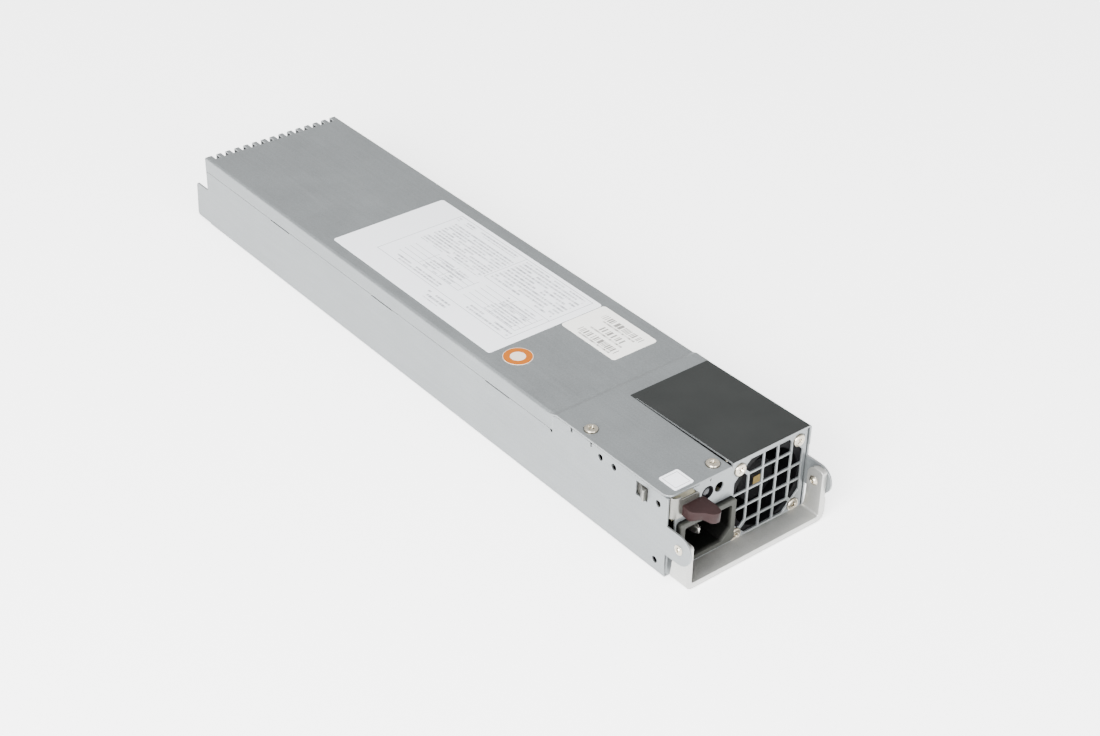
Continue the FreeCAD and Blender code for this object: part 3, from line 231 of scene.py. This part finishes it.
def sheet_metal(name, dark, light, metallic, roughness, edge, round_edges=0.0003):
    """Bare or plated metal: fine speckle, faint rolling grain and clouds, a few marks, brighter edges."""
    finish = Finish(name)
    clouds = finish.noise(38, 4, 0.6)
    grain = finish.noise(900, 2, 0.6, (1, 0.035, 1))
    speckle = finish.noise(1500, 3, 0.75)
    marks = finish.spread(finish.noise(120, 5, 0.7, (1, 0.12, 1)), 0.62, 0.78)
    tone = clouds * 0.3 + grain * 0.14 + speckle * 0.56
    color = finish.mix(finish.spread(tone, 0.36, 0.64), dark, light)
    color = finish.mix(marks * 0.1, color, edge)
    color = finish.mix(finish.edges(0.00035) * 0.7, color, edge)
    wear = finish.spread(clouds * 0.6 + speckle * 0.4, 0.3, 0.7, roughness - 0.06, roughness + 0.07)
    finish.set(base_color=color, metallic=metallic, roughness=wear)
    finish.relief(speckle * 0.8 + grain * 0.2, 0.00002, 0.5, round_edges)
    return finish


def moulded(name, color, roughness, texture=2600, depth=0.00002, coat=0.0, gloss=0.22):
    """Moulded plastic: fine spark texture, faint flow variation, paler worn edges."""
    finish = Finish(name, coat_weight=coat, specular_ior_level=gloss)
    texture_height = finish.noise(texture, 3, 0.65)
    clouds = finish.noise(140, 3)
    lighter = tuple(channel * 1.45 for channel in color)
    shade = finish.mix(finish.spread(clouds * 0.5 + texture_height * 0.5, 0.35, 0.68), color, lighter)
    worn = tuple(channel * 1.9 + 0.001 for channel in color)
    shade = finish.mix(finish.edges(0.0003) * 0.45, shade, worn)
    finish.set(base_color=shade,
               roughness=finish.spread(clouds, 0.3, 0.7, roughness - 0.05, roughness + 0.06))
    finish.relief(texture_height, depth, 0.6, 0.00025)
    return finish


def label_base(name, coat=0.25, gloss=0.5):
    """White film with a faint sheen."""
    finish = Finish(name, coat_weight=coat, specular_ior_level=gloss)
    finish.shader.inputs["Coat Roughness"].default_value = 0.25
    finish.set(roughness=finish.spread(finish.noise(200, 3), 0.3, 0.7, 0.38, 0.5))
    finish.relief(finish.noise(500, 3), 0.000015, 0.5)
    return finish


# Print on the labels. x runs to the right and y to the rear, from the label's left front corner, in metres.

def rectangle(x, y, low, high):
    """1 inside the rectangle between two corners."""
    return x.within(low[0], high[0]) * y.within(low[1], high[1])


def random_shade(finish, first, second):
    """A random number from 0 to 1 for each pair of whole numbers."""
    pair = finish.node("ShaderNodeCombineXYZ", sockets={0: first, 1: second})
    return finish.node("ShaderNodeTexWhiteNoise", {"noise_dimensions": "3D"}, {"Vector": pair})


def bar_code(finish, x, y, low, high, bar=0.00045):
    """Plain bars of mixed widths that follow one another along the label."""
    shade = random_shade(finish, (y / bar).floor(), low[0] * 1000)
    return rectangle(x, y, low, high) * (shade > 0.46)


def print_lines(finish, x, y, low, high, pitch=0.0021, mark=0.0006):
    """Rows of small broken marks, like lines of print seen from far off."""
    row = (x / pitch).floor()
    body_of_row = (x / pitch).fraction().within(0.22, 0.72)
    words = random_shade(finish, row, (y / (mark * 6)).floor()) > 0.16
    marks = random_shade(finish, row + 40, (y / mark).floor()) * 0.75 + 0.25
    return rectangle(x, y, low, high) * body_of_row * words * marks


def ruled_frame(x, y, low, high, line=0.00028):
    """The outline of a rectangle."""
    inner_low = (low[0] + line, low[1] + line)
    inner_high = (high[0] - line, high[1] - line)
    return rectangle(x, y, low, high) - rectangle(x, y, inner_low, inner_high)


def ruled_grid(x, y, low, high, across, along, line=0.00025):
    """A table's thin lines inside a rectangle."""
    upright = ((x - low[0]) / across).fraction() < line / across
    level = ((y - low[1]) / along).fraction() < line / along
    return rectangle(x, y, low, high) * upright.larger(level)


def black_film():
    """Smooth polyester film: dark and satin, with soft waviness."""
    finish = Finish("black_film", specular_ior_level=0.2)
    waves = finish.noise(60, 2)
    fine = finish.noise(1800, 3)
    color = finish.mix(finish.spread(waves * 0.6 + fine * 0.4, 0.35, 0.65),
                       (0.010, 0.0113, 0.0108), (0.0134, 0.0148, 0.0142))
    finish.set(base_color=color, roughness=finish.spread(fine, 0.3, 0.7, 0.46, 0.54))
    finish.relief(waves, 0.00008, 0.3)
    return finish


def circuit_board():
    """Green solder mask with darker tracks below it."""
    finish = Finish("circuit_board", coat_weight=0.4)
    x, y, _ = finish.along()
    stripes = (x * 420 + (y * 90).floor() * 0.37).fraction() > 0.62
    tracks = stripes * finish.spread(finish.noise(70, 1), 0.46, 0.5)
    weave = finish.noise(1400, 2)
    color = finish.mix(tracks * 0.6, (0.005, 0.045, 0.018), (0.013, 0.09, 0.036))
    finish.set(base_color=finish.mix(weave * 0.35, color, (0.004, 0.028, 0.012)),
               roughness=finish.spread(weave, 0.3, 0.7, 0.28, 0.36))
    finish.relief(tracks + weave * 0.2, 0.00003, 0.5)
    return finish


def inlet_plastic():
    """Dark grey moulding, with painted shade that turns its deep mouth black."""
    finish = Finish("inlet_plastic", specular_ior_level=0.12)
    grain = finish.noise(1800, 3, 0.65)
    _, y, _ = finish.along()
    shade = finish.mix(finish.spread(grain, 0.35, 0.68), (0.028, 0.029, 0.0255), (0.035, 0.036, 0.032))
    shade = finish.mix(finish.edges(0.0003) * 0.4, shade, (0.05, 0.051, 0.047))
    # Painted shade: the colour fades to black between 2.3 mm and 0.6 mm in front of the front panel and stays
    # black behind that, so the deep mouth looks shaded.
    depth = finish.spread(y, FRONT - 2.3 * MM, FRONT - 0.6 * MM)
    finish.set(base_color=finish.mix(depth, shade, (0.0009, 0.0009, 0.0007)),
               roughness=finish.spread(grain, 0.3, 0.7, 0.42, 0.52))
    finish.relief(grain, 0.00002, 0.6, 0.00025)
    return finish


def label_plan(finish, node_name):
    """The point on the label, from its left front corner, and the label's width and length."""
    low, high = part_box(node_name)
    x, y, _ = finish.along()
    return x - low[0], y - low[1], (high[0] - low[0], high[1] - low[1])


def rating_print():
    """The large label: ruled fields and rows of plain marks, and bare places round them."""
    finish = label_base("rating_label_print")
    x, y, (width, _) = label_plan(finish, "rating_label")
    ink = ruled_frame(x, y, (0.012, 0.004), (width - 0.002, 0.1005))
    # Left front corner, right rear corner, and the pitch of the rows
    paragraphs = (
        ((0.0375, 0.0065), (0.0585, 0.0490), 0.0022),
        ((0.0330, 0.0520), (0.0540, 0.0960), 0.0020),
        ((0.0560, 0.0550), (0.0590, 0.0990), 0.0019),
        ((0.0130, 0.0560), (0.0170, 0.0900), 0.0019),
        ((0.0135, 0.0060), (0.0175, 0.0350), 0.0022),
        ((0.0195, 0.0100), (0.0335, 0.0300), 0.0019),
        ((0.0195, 0.0540), (0.0300, 0.0760), 0.0019),
        ((0.0040, 0.0400), (0.0095, 0.0560), 0.0026))
    for low, high, pitch in paragraphs:
        ink = ink.larger(print_lines(finish, x, y, low, high, pitch))
    ink = ink.larger(ruled_grid(x, y, (0.0190, 0.0070), (0.0345, 0.0440), 0.0031, 0.0185))
    ink = ink.larger(ruled_grid(x, y, (0.0190, 0.0480), (0.0310, 0.0930), 0.0030, 0.0150))
    ink = ink.larger(ruled_frame(x, y, (0.0355, 0.0040), (width - 0.002, 0.0510)))
    finish.set(base_color=finish.mix(ink * 0.8, LABEL_WHITE, (0.10, 0.105, 0.125)))
    return finish


def barcode_print():
    """The small label: three bar codes with a row of marks below each."""
    finish = label_base("barcode_label_print")
    x, y, _ = label_plan(finish, "barcode_label")
    ink = bar_code(finish, x, y, (0.0031, 0.0040), (0.0066, 0.0280))
    ink = ink.larger(bar_code(finish, x, y, (0.0101, 0.0075), (0.0136, 0.0225)))
    ink = ink.larger(bar_code(finish, x, y, (0.0171, 0.0040), (0.0206, 0.0290)))
    for left in (0.0012, 0.0080, 0.0150):
        ink = ink.larger(print_lines(finish, x - left, y, (0, 0.0055), (0.0020, 0.0260), 0.0020, 0.0009))
    finish.set(base_color=finish.mix(ink * 0.85, (0.84, 0.83, 0.79), (0.07, 0.065, 0.06)))
    return finish


def corner_print():
    """The corner label: white, with a thin plain frame."""
    finish = label_base("corner_label_print")
    x, y, (width, length) = label_plan(finish, "corner_label")
    margin = 0.0011
    ink = ruled_frame(x, y, (margin, margin), (width - margin, length - margin), 0.0003)
    finish.set(base_color=finish.mix(ink * 0.7, LABEL_WHITE, (0.12, 0.12, 0.13)))
    return finish


def sticker_print():
    """The round sticker: an orange ring round a bare middle."""
    finish = label_base("round_sticker_print", 0.0, 0.12)
    x, y, (width, length) = label_plan(finish, "round_sticker")
    distance = ((x - width / 2) ** 2.0 + (y - length / 2) ** 2.0).root()
    ring = distance.within(0.0034, 0.0063)
    grain = finish.noise(900, 3)
    orange = finish.mix(grain, (0.31, 0.078, 0.001), (0.36, 0.095, 0.002))
    finish.set(base_color=finish.mix(ring, (0.62, 0.54, 0.46), orange))
    return finish


# The finish of each slot of the record, by its name, and of the fan hub's patch
finishes = {finish.name: finish for finish in (
    sheet_metal("zinc_sheet", (0.158, 0.170, 0.174), (0.222, 0.237, 0.242), 0.7, 0.44, (0.42, 0.43, 0.43)),
    sheet_metal("plated_steel", (0.36, 0.36, 0.345), (0.44, 0.44, 0.425), 0.82, 0.38,
                (0.62, 0.62, 0.6), 0.0004),
    sheet_metal("spring_steel", (0.16, 0.16, 0.145), (0.205, 0.20, 0.185), 0.85, 0.32, (0.5, 0.5, 0.46)),
    sheet_metal("screw_steel", (0.36, 0.325, 0.26), (0.50, 0.46, 0.38), 0.95, 0.22,
                (0.7, 0.66, 0.56), 0.0002),
    sheet_metal("plated_brass", (0.66, 0.65, 0.6), (0.8, 0.79, 0.74), 1.0, 0.3, (0.9, 0.89, 0.84)),
    sheet_metal("gold_contact", (0.42, 0.27, 0.07), (0.54, 0.36, 0.11), 1.0, 0.22, (0.7, 0.5, 0.2)),
    sheet_metal("copper", (0.34, 0.14, 0.07), (0.44, 0.20, 0.11), 1.0, 0.28, (0.6, 0.33, 0.22)),
    sheet_metal("heatsink_aluminium", (0.25, 0.255, 0.26), (0.31, 0.315, 0.32), 0.9, 0.4, (0.5, 0.5, 0.5)),
    moulded("black_plastic", (0.0014, 0.0014, 0.0017), 0.5, gloss=0.06),
    moulded("burgundy_plastic", (0.0122, 0.0056, 0.0056), 0.50, gloss=0.13),
    moulded("lens_plastic", (0.026, 0.027, 0.030), 0.28, coat=0.1),
    moulded("hub_foil", (0.11, 0.078, 0.024), 0.35, 900),
    moulded("wound_copper", (0.14, 0.05, 0.016), 0.25, 900, 0.0001, 0.5),
    moulded("insulation_film", (0.27, 0.25, 0.17), 0.34),
    moulded("yellow_plastic", (0.30, 0.20, 0.02), 0.4),
    moulded("capacitor_sleeve", (0.008, 0.008, 0.014), 0.22, coat=0.4),
    moulded("ferrite", (0.02, 0.02, 0.022), 0.55, 1500, 0.00004),
    moulded("white_plastic", (0.5, 0.5, 0.46), 0.4),
    inlet_plastic(),
    black_film(),
    circuit_board())}
printed = {"rating_label": rating_print(), "barcode_label": barcode_print(), "corner_label": corner_print(),
           "round_sticker": sticker_print()}

for subpart in frame["record"]["subparts"]:
    finish = printed.get(subpart["node"]) or finishes[subpart["material_slot"]]
    for slot in nodes[subpart["node"]].material_slots:
        slot.material = finish.material


# Pieces modelled here

def mesh_of(build, name):
    """The mesh that was built, under a name."""
    made = bpy.data.meshes.new(name)
    build.to_mesh(made)
    build.free()
    return made


def closed_mesh(build, name):
    """The mesh of a closed form that was built, its faces turned outwards."""
    bmesh.ops.recalc_face_normals(build, faces=build.faces)
    return mesh_of(build, name)


def object_of(mesh):
    holder = bpy.data.objects.new(mesh.name, mesh)
    bpy.context.collection.objects.link(holder)
    return holder


def new_piece(name, mesh, slot_name, body, finish=None):
    """An object of the mesh that rides on a body and takes its finish from a slot."""
    mesh.materials.append((finish or finishes[slot_name]).material)
    mesh.update()
    piece = bpy.data.objects.new(name, mesh)
    bpy.context.collection.objects.link(piece)
    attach(piece, body)
    return piece


def smooth(mesh, sharp_angle=35):
    """Smooth shading with sharp edges past that angle, in degrees."""
    mesh.shade_smooth()
    mesh.set_sharp_from_angle(angle=math.radians(sharp_angle))


def arc(middle, radius, start, stop, steps):
    """Points of an arc in the plane of a profile, angles in degrees."""
    turns = [math.radians(start + (stop - start) * step / steps) for step in range(steps + 1)]
    return [(middle[0] + radius * math.cos(turn), middle[1] + radius * math.sin(turn)) for turn in turns]


def in_metres(profile):
    return [(radius * MM, height * MM) for radius, height in profile]


def add_turned(build, profile, place, segments=40):
    """Revolve a profile of (radius, height) pairs round the local Z axis and add it."""
    rings = []
    for radius, height in profile:
        if radius == 0:
            rings.append([build.verts.new(place @ Vector((0, 0, height)))])
            continue
        turns = [2 * math.pi * step / segments for step in range(segments)]
        spots = [Vector((radius * math.cos(turn), radius * math.sin(turn), height)) for turn in turns]
        rings.append([build.verts.new(place @ spot) for spot in spots])
    for lower, upper in zip(rings, rings[1:]):
        for step in range(segments):
            after = (step + 1) % segments
            if len(lower) == 1:
                build.faces.new((lower[0], upper[after], upper[step]))
            elif len(upper) == 1:
                build.faces.new((lower[step], lower[after], upper[0]))
            else:
                build.faces.new((lower[step], lower[after], upper[after], upper[step]))


def add_lofted(build, loops):
    """Add a closed solid through loops of points that all have the same count."""
    rings = [[build.verts.new(spot) for spot in loop] for loop in loops]
    for first, second in zip(rings, rings[1:]):
        for step in range(len(first)):
            after = (step + 1) % len(first)
            build.faces.new((first[step], first[after], second[after], second[step]))
    build.faces.new(rings[0][::-1])
    build.faces.new(rings[-1])


def applied(holder, *others):
    """The object's mesh with its modifiers applied. The object and the others are removed."""
    ready = holder.evaluated_get(bpy.context.evaluated_depsgraph_get())
    made = bpy.data.meshes.new_from_object(ready)
    for used in (holder, *others):
        bpy.data.objects.remove(used)
    return made


def with_cut(holder, cutter):
    """The object's mesh with another object's form cut out of it."""
    cut = holder.modifiers.new("cut", "BOOLEAN")
    cut.operation = "DIFFERENCE"
    cut.solver = "EXACT"
    cut.object = cutter
    return applied(holder, cutter)


def with_rolled_edges(holder, width, segments=3, sharper_than=35):
    """The object's mesh with the edges past that angle rolled over."""
    bevel = holder.modifiers.new("rolled_edges", "BEVEL")
    bevel.width = width
    bevel.segments = segments
    bevel.limit_method = "ANGLE"
    bevel.angle_limit = math.radians(sharper_than)
    return applied(holder)


def cross_recess(span, width, depth):
    """A tapered cross that is cut into a screw head whose top is at height 0."""
    loops = []
    for height, scale in ((-depth, 0.55), (0.2 * MM, 1.06)):
        arm = span / 2 * scale
        side = width / 2 * (0.4 + 0.6 * scale)
        corner = [(arm, -side), (arm, side), (side * 1.25, side * 1.25)]
        turns = [Matrix.Rotation(math.pi / 2 * quarter, 3, "Z") for quarter in range(4)]
        loops.append([turn @ Vector((*spot, height)) for turn in turns for spot in corner])
    build = bmesh.new()
    add_lofted(build, loops)
    return object_of(mesh_of(build, "screw_recess"))


def pan_screw(length):
    """A pan head screw with a cross recess: its head's top is at height 0, and it points down."""
    fillet = 0.55 * SCREW_HEAD_HEIGHT
    crown = arc((SCREW_HEAD_RADIUS - fillet, -fillet), fillet, 12, 84, 5)
    thread = []
    for turn in range(int((length - SCREW_HEAD_HEIGHT) / THREAD_STEP) - 1):
        rise = THREAD_RISE if turn % 2 else 0
        thread.append((SCREW_SHANK_RADIUS + rise, -SCREW_HEAD_HEIGHT - THREAD_STEP * (turn + 1)))
    profile = [
        (0, -length), (SCREW_SHANK_RADIUS * 0.8, -length),
        *thread[::-1],
        (SCREW_SHANK_RADIUS, -SCREW_HEAD_HEIGHT), (SCREW_HEAD_RADIUS * 0.985, -SCREW_HEAD_HEIGHT),
        (SCREW_HEAD_RADIUS, -0.85 * SCREW_HEAD_HEIGHT),
        *crown,
        (SCREW_HEAD_RADIUS * 0.5, -0.02 * SCREW_HEAD_HEIGHT), (0, 0)]
    build = bmesh.new()
    add_turned(build, profile, Matrix.Identity(4))
    return with_cut(object_of(mesh_of(build, "screw_blank")), cross_recess(3.1 * MM, 0.75 * MM, 1.0 * MM))


def screw_set(name, node_name, spots, direction, length):
    """One piece with a screw at each spot, each turned differently, that replaces the CAD screws."""
    pattern = pan_screw(length)
    build = bmesh.new()
    for index, spot in enumerate(spots):
        turn = Matrix.Rotation(math.radians(17 + 37 * index), 4, "Z")
        one = pattern.copy()
        one.transform(Matrix.Translation(spot) @ direction @ turn)
        build.from_mesh(one)
    made = mesh_of(build, name)
    smooth(made)
    piece = new_piece(name, made, "screw_steel", "supply")
    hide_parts(node_name)


def make_screws():
    """The fan's four screws in the front panel, and the cover's two."""
    head = SCREW_HEAD_RADIUS
    low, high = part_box("fan_screws")
    spots = [(x, low[1], z) for x in (low[0] + head, high[0] - head) for z in (low[2] + head, high[2] - head)]
    forward = Matrix.Rotation(math.pi / 2, 4, "X")
    screw_set("fan_screw_set", "fan_screws", spots, forward, high[1] - low[1])
    low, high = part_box("cover_screws")
    spots = [(low[0] + head, high[1] - head, high[2]), (high[0] - head, low[1] + head, high[2])]
    screw_set("cover_screw_set", "cover_screws", spots, Matrix.Identity(4), high[2] - low[2])


def cheek_edges(height, top, front_round=1.4):
    """Where a cheek starts and ends along the case at a height, in millimetres."""
    front_drop = height - (top - front_round)
    rear_drop = height - (top - CHEEK_CROWN)
    flare = max(0, (SPLAY_START - height) / SPLAY_START) ** 2
    front = HANDLE_FRONT
    rear = CHEEK_REAR + (BASE_REAR - CHEEK_REAR) * flare
    if front_drop > 0:
        front += front_round - math.sqrt(max(front_round ** 2 - front_drop ** 2, 0))
    if rear_drop > 0:
        rear -= CHEEK_CROWN - math.sqrt(max(CHEEK_CROWN ** 2 - rear_drop ** 2, 0))
    return front, rear


def half_strip(side, top):
    """Half the strip's cross-sections, from a cheek's top to the base: four corners each, in metres."""
    steps = 9
    heights = [top - CHEEK_CROWN * (1 - math.cos(math.pi / 2 * step / steps)) for step in range(steps + 1)]
    pairs = [((CHEEK_OUTSIDE, height), (CHEEK_INSIDE, height)) for height in heights]
    splay = ((CHEEK_OUTSIDE, 12.2), (37.25, 11.4), (SPLAY_OUTSIDE, 10.2), (SPLAY_OUTSIDE, 8.4),
             (SPLAY_OUTSIDE, 6.6))
    pairs += [((outside, height), (CHEEK_INSIDE, height)) for outside, height in splay]
    outer_bend = arc((33.4, 4.65), 4.2, 0, -90, steps)
    inner_bend = arc((33.1, 4.5), 1.2, 0, -90, steps)
    pairs += zip(outer_bend, inner_bend)
    sections = []
    for outer, inner in pairs:
        front, rear = cheek_edges(outer[1], top)
        corners = ((outer, front), (outer, rear), (inner, rear), (inner, front))
        sections.append([(side * x * MM, y * MM, z * MM) for (x, z), y in corners])
    return sections


def make_handle():
    """The bail: one thick strip bent into a U, its edges rolled over, with a hole for each rivet."""
    build = bmesh.new()
    add_lofted(build, half_strip(-1, LEFT_CHEEK_TOP) + half_strip(1, RIGHT_CHEEK_TOP)[::-1])
    strip = object_of(closed_mesh(build, "handle_strip"))
    drill = bmesh.new()
    across = Matrix.Translation((0, *PIVOT)) @ Matrix.Rotation(math.pi / 2, 4, "Y")
    reach = 50 * MM
    hole = [(0, -reach), (RIVET_HOLE_RADIUS, -reach), (RIVET_HOLE_RADIUS, reach), (0, reach)]
    add_turned(drill, hole, across)
    drilled = with_cut(strip, object_of(closed_mesh(drill, "handle_drill")))
    made = with_rolled_edges(object_of(drilled), 0.55 * MM)
    smooth(made, 50)
    piece = new_piece("bail_handle", made, "plated_steel", "handle")
    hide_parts("handle")


def make_rivets():
    """Hollow rivets: a flange, a rolled lip and a bore at each end."""
    profile = in_metres([
        (0, 34.6), (0.42, 34.6), (0.5, 33.7), (0.78, 33.32), (1.1, 33.36), (1.4, 33.62), (1.8, 33.98),
        (2.2, 34.12), (2.2, 34.26), (1.5, 34.26), (1.5, 38.02), (2.2, 38.02), (2.2, 38.16), (1.95, 38.28),
        (1.35, 38.4), (1.05, 38.74), (0.75, 38.78), (0.5, 38.35), (0.42, 37.4), (0, 37.4)])
    build = bmesh.new()
    for side in (-1, 1):
        across = Matrix.Translation((0, *PIVOT)) @ Matrix.Rotation(side * math.pi / 2, 4, "Y")
        add_turned(build, profile, across, 36)
    made = closed_mesh(build, "rivets")
    smooth(made)
    piece = new_piece("hollow_rivets", made, "screw_steel", "supply")
    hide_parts("handle_rivets")


def turned_forward(name, profile):
    """A smooth mesh of a profile that is revolved round the status light's axis."""
    build = bmesh.new()
    place = Matrix.Translation(STATUS_LIGHT) @ Matrix.Rotation(math.pi / 2, 4, "X")
    add_turned(build, in_metres(profile), place)
    bmesh.ops.remove_doubles(build, verts=build.verts, dist=1e-7)
    made = closed_mesh(build, name)
    smooth(made)
    return made


def make_status_light():
    """The round light beside the latch: a dark collar, and a domed core set back inside it."""
    collar = [(1.9, -1.8), (1.9, -1.2), (2.3, -1.0), (2.45, -0.1), (2.6, 0.16), (2.9, 0.14), (3.05, 0.02),
              (2.68, 0.02), (2.68, -0.85), (3.35, -0.85), (3.35, -1.8), (1.9, -1.8)]
    core = [(0, -7.0), (1.8, -7.0), (1.8, -1.3), (1.72, -0.9), (1.4, -0.6), (0.8, -0.4), (0, -0.34)]
    piece = new_piece("status_collar", turned_forward("status_collar", collar), "black_plastic", "supply")
    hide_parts("status_lens")
    new_piece("status_core", turned_forward("status_core", core), "lens_plastic", "supply")


def softened(outline, rounds=2):
    """The outline with its corners cut again and again, which rounds them."""
    for _ in range(rounds):
        cut = []
        for first, second in zip(outline, outline[1:] + outline[:1]):
            cut.append(tuple(0.75 * a + 0.25 * b for a, b in zip(first, second)))
            cut.append(tuple(0.25 * a + 0.75 * b for a, b in zip(first, second)))
        outline = cut
    return outline


def make_thumb_tab():
    """The finger tab: a thick fin with a hollow for the thumb and an arched underside."""
    plan = softened([
        (-31.9, -173.9), (-31.95, -173.95), (-32.0, -174.2), (-32.3, -176.6), (-32.4, -179.0),
        (-30.4, -180.9), (-28.2, -182.6), (-26.4, -185.6), (-22.6, -186.1), (-21.6, -182.8),
        (-21.35, -179.0), (-21.4, -175.0), (-21.8, -173.95), (-22.0, -173.9)])
    top = 33.8
    bottom = 29.1
    arch_height = 1.3
    arch_middle = (-28.6, -181.2)
    upper = [(x * MM, y * MM, top * MM) for x, y in plan]
    lower = []
    for x, y in plan:
        arch = arch_height * math.exp(-((x - arch_middle[0]) ** 2 + (y - arch_middle[1]) ** 2) / 9)
        lower.append(((x * 0.985 - 0.4) * MM, (y + 0.25) * MM, (bottom + arch) * MM))
    build = bmesh.new()
    add_lofted(build, [lower, upper])
    made = with_rolled_edges(object_of(closed_mesh(build, "tab_blank")), 0.75 * MM, 4, 50)
    smooth(made, 60)
    piece = new_piece("thumb_tab", made, "burgundy_plastic", "latch")
    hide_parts("latch_tab")


def make_inlet_pins():
    """The three flat pins of the inlet, their tips tapered."""
    for node_name in ("line_blade", "neutral_blade", "earth_blade"):
        low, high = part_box(node_name)
        middle = ((low[0] + high[0]) / 2, (low[2] + high[2]) / 2)
        half_size = ((high[0] - low[0]) / 2, (high[2] - low[2]) / 2)
        # Place along the pin, and the shares of its width and height there
        stations = ((high[1], 1, 1), (low[1] + 2.6 * MM, 1, 1), (low[1] + 0.5 * MM, 0.62, 0.72),
                    (low[1], 0.36, 0.58))
        loops = []
        for y, across, upright in stations:
            reach = (across * half_size[0], upright * half_size[1])
            loops.append([(middle[0] + side * reach[0], y, middle[1] + up * reach[1])
                          for side, up in ((-1, -1), (1, -1), (1, 1), (-1, 1))])
        build = bmesh.new()
        add_lofted(build, loops)
        made = with_rolled_edges(object_of(closed_mesh(build, "pin_blank")), 0.18 * MM, 2, 30)
        smooth(made, 40)
        piece = new_piece(node_name.replace("blade", "pin"), made, "plated_brass", "supply")
        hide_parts(node_name)


def make_hub_patch():
    """A small plain foil patch on the front of the fan's hub."""
    low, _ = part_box("front_fan_rotor")
    middle = (16.9, 18.1)
    half_size = (2.3, 2.6)
    corner = 0.5
    thickness = 0.08 * MM
    outline = []
    for index, (side, up) in enumerate(((1, 1), (-1, 1), (-1, -1), (1, -1))):
        spot = (middle[0] + side * (half_size[0] - corner), middle[1] + up * (half_size[1] - corner))
        outline += arc(spot, corner, 90 * index, 90 * index + 90, 4)
    build = bmesh.new()
    add_lofted(build, [[(x * MM, y, z * MM) for x, z in outline] for y in (low[1], low[1] - thickness)])
    made = closed_mesh(build, "hub_patch")
    new_piece("hub_patch", made, "gold_contact", "front_rotor", finishes["hub_foil"])


make_screws()
make_handle()
make_rivets()
make_status_light()
make_thumb_tab()
make_inlet_pins()
make_hub_patch()


# Floor, light and camera

def make_floor():
    """A pale matt floor that glows a little, as a lit studio ground does."""
    finish = Finish("pale_floor", base_color=(0.94, 0.94, 0.94), roughness=1.0, specular_ior_level=0.0,
                    emission_color=(1, 1, 1), emission_strength=2.0)
    side = 4.0
    corners = [(-side, -side, 0), (side, -side, 0), (side, side, 0), (-side, side, 0)]
    mesh = bpy.data.meshes.new("floor")
    mesh.from_pydata(corners, [], [(0, 1, 2, 3)])
    mesh.materials.append(finish.material)
    floor = object_of(mesh)


def add_light(name, place, target, size, power):
    """A square soft light that faces a target."""
    lamp = bpy.data.lights.new(name, "AREA")
    lamp.size = size
    lamp.energy = power
    holder = bpy.data.objects.new(name, lamp)
    holder.location = place
    holder.rotation_euler = (Vector(target) - Vector(place)).to_track_quat("-Z", "Y").to_euler()
    bpy.context.collection.objects.link(holder)


def set_sky(brightness):
    """Even white light from all round."""
    world = bpy.data.worlds.new("studio")
    world.use_nodes = True
    background = world.node_tree.nodes["Background"]
    background.inputs["Color"].default_value = (1, 1, 1, 1)
    background.inputs["Strength"].default_value = brightness
    bpy.context.scene.world = world


def add_camera():
    """The photograph's camera: its forward, right and up directions, with the slight roll."""
    turn, tilt, roll = (math.radians(angle) for angle in (CAMERA_TURN, CAMERA_TILT, CAMERA_ROLL))
    back = Vector((math.sin(turn) * math.cos(tilt), -math.cos(turn) * math.cos(tilt), math.sin(tilt)))
    right = (-back).cross(Vector((0, 0, 1))).normalized()
    up = right.cross(-back)
    rolled_right = math.cos(roll) * right + math.sin(roll) * up
    rolled_up = math.cos(roll) * up - math.sin(roll) * right
    lens = bpy.data.cameras.new("photo_camera")
    lens.lens = CAMERA_LENS
    lens.sensor_width = 36
    holder = bpy.data.objects.new("photo_camera", lens)
    rotation = Matrix((rolled_right, rolled_up, back)).transposed()
    holder.matrix_world = Matrix.Translation(CAMERA_PLACE) @ rotation.to_4x4()
    bpy.context.collection.objects.link(holder)
    bpy.context.scene.camera = holder


make_floor()
set_sky(1.35)
add_light("key_light", place=(-1.30, -0.70, 0.75), target=(0, -0.1, 0.02), size=1.0, power=108)
add_light("top_light", place=(-0.2, 0.5, 1.5), target=(0, 0.05, 0), size=1.2, power=8)
add_light("front_light", place=(-0.1, -1.5, 0.50), target=(0, -0.15, 0.02), size=0.8, power=28)
add_camera()
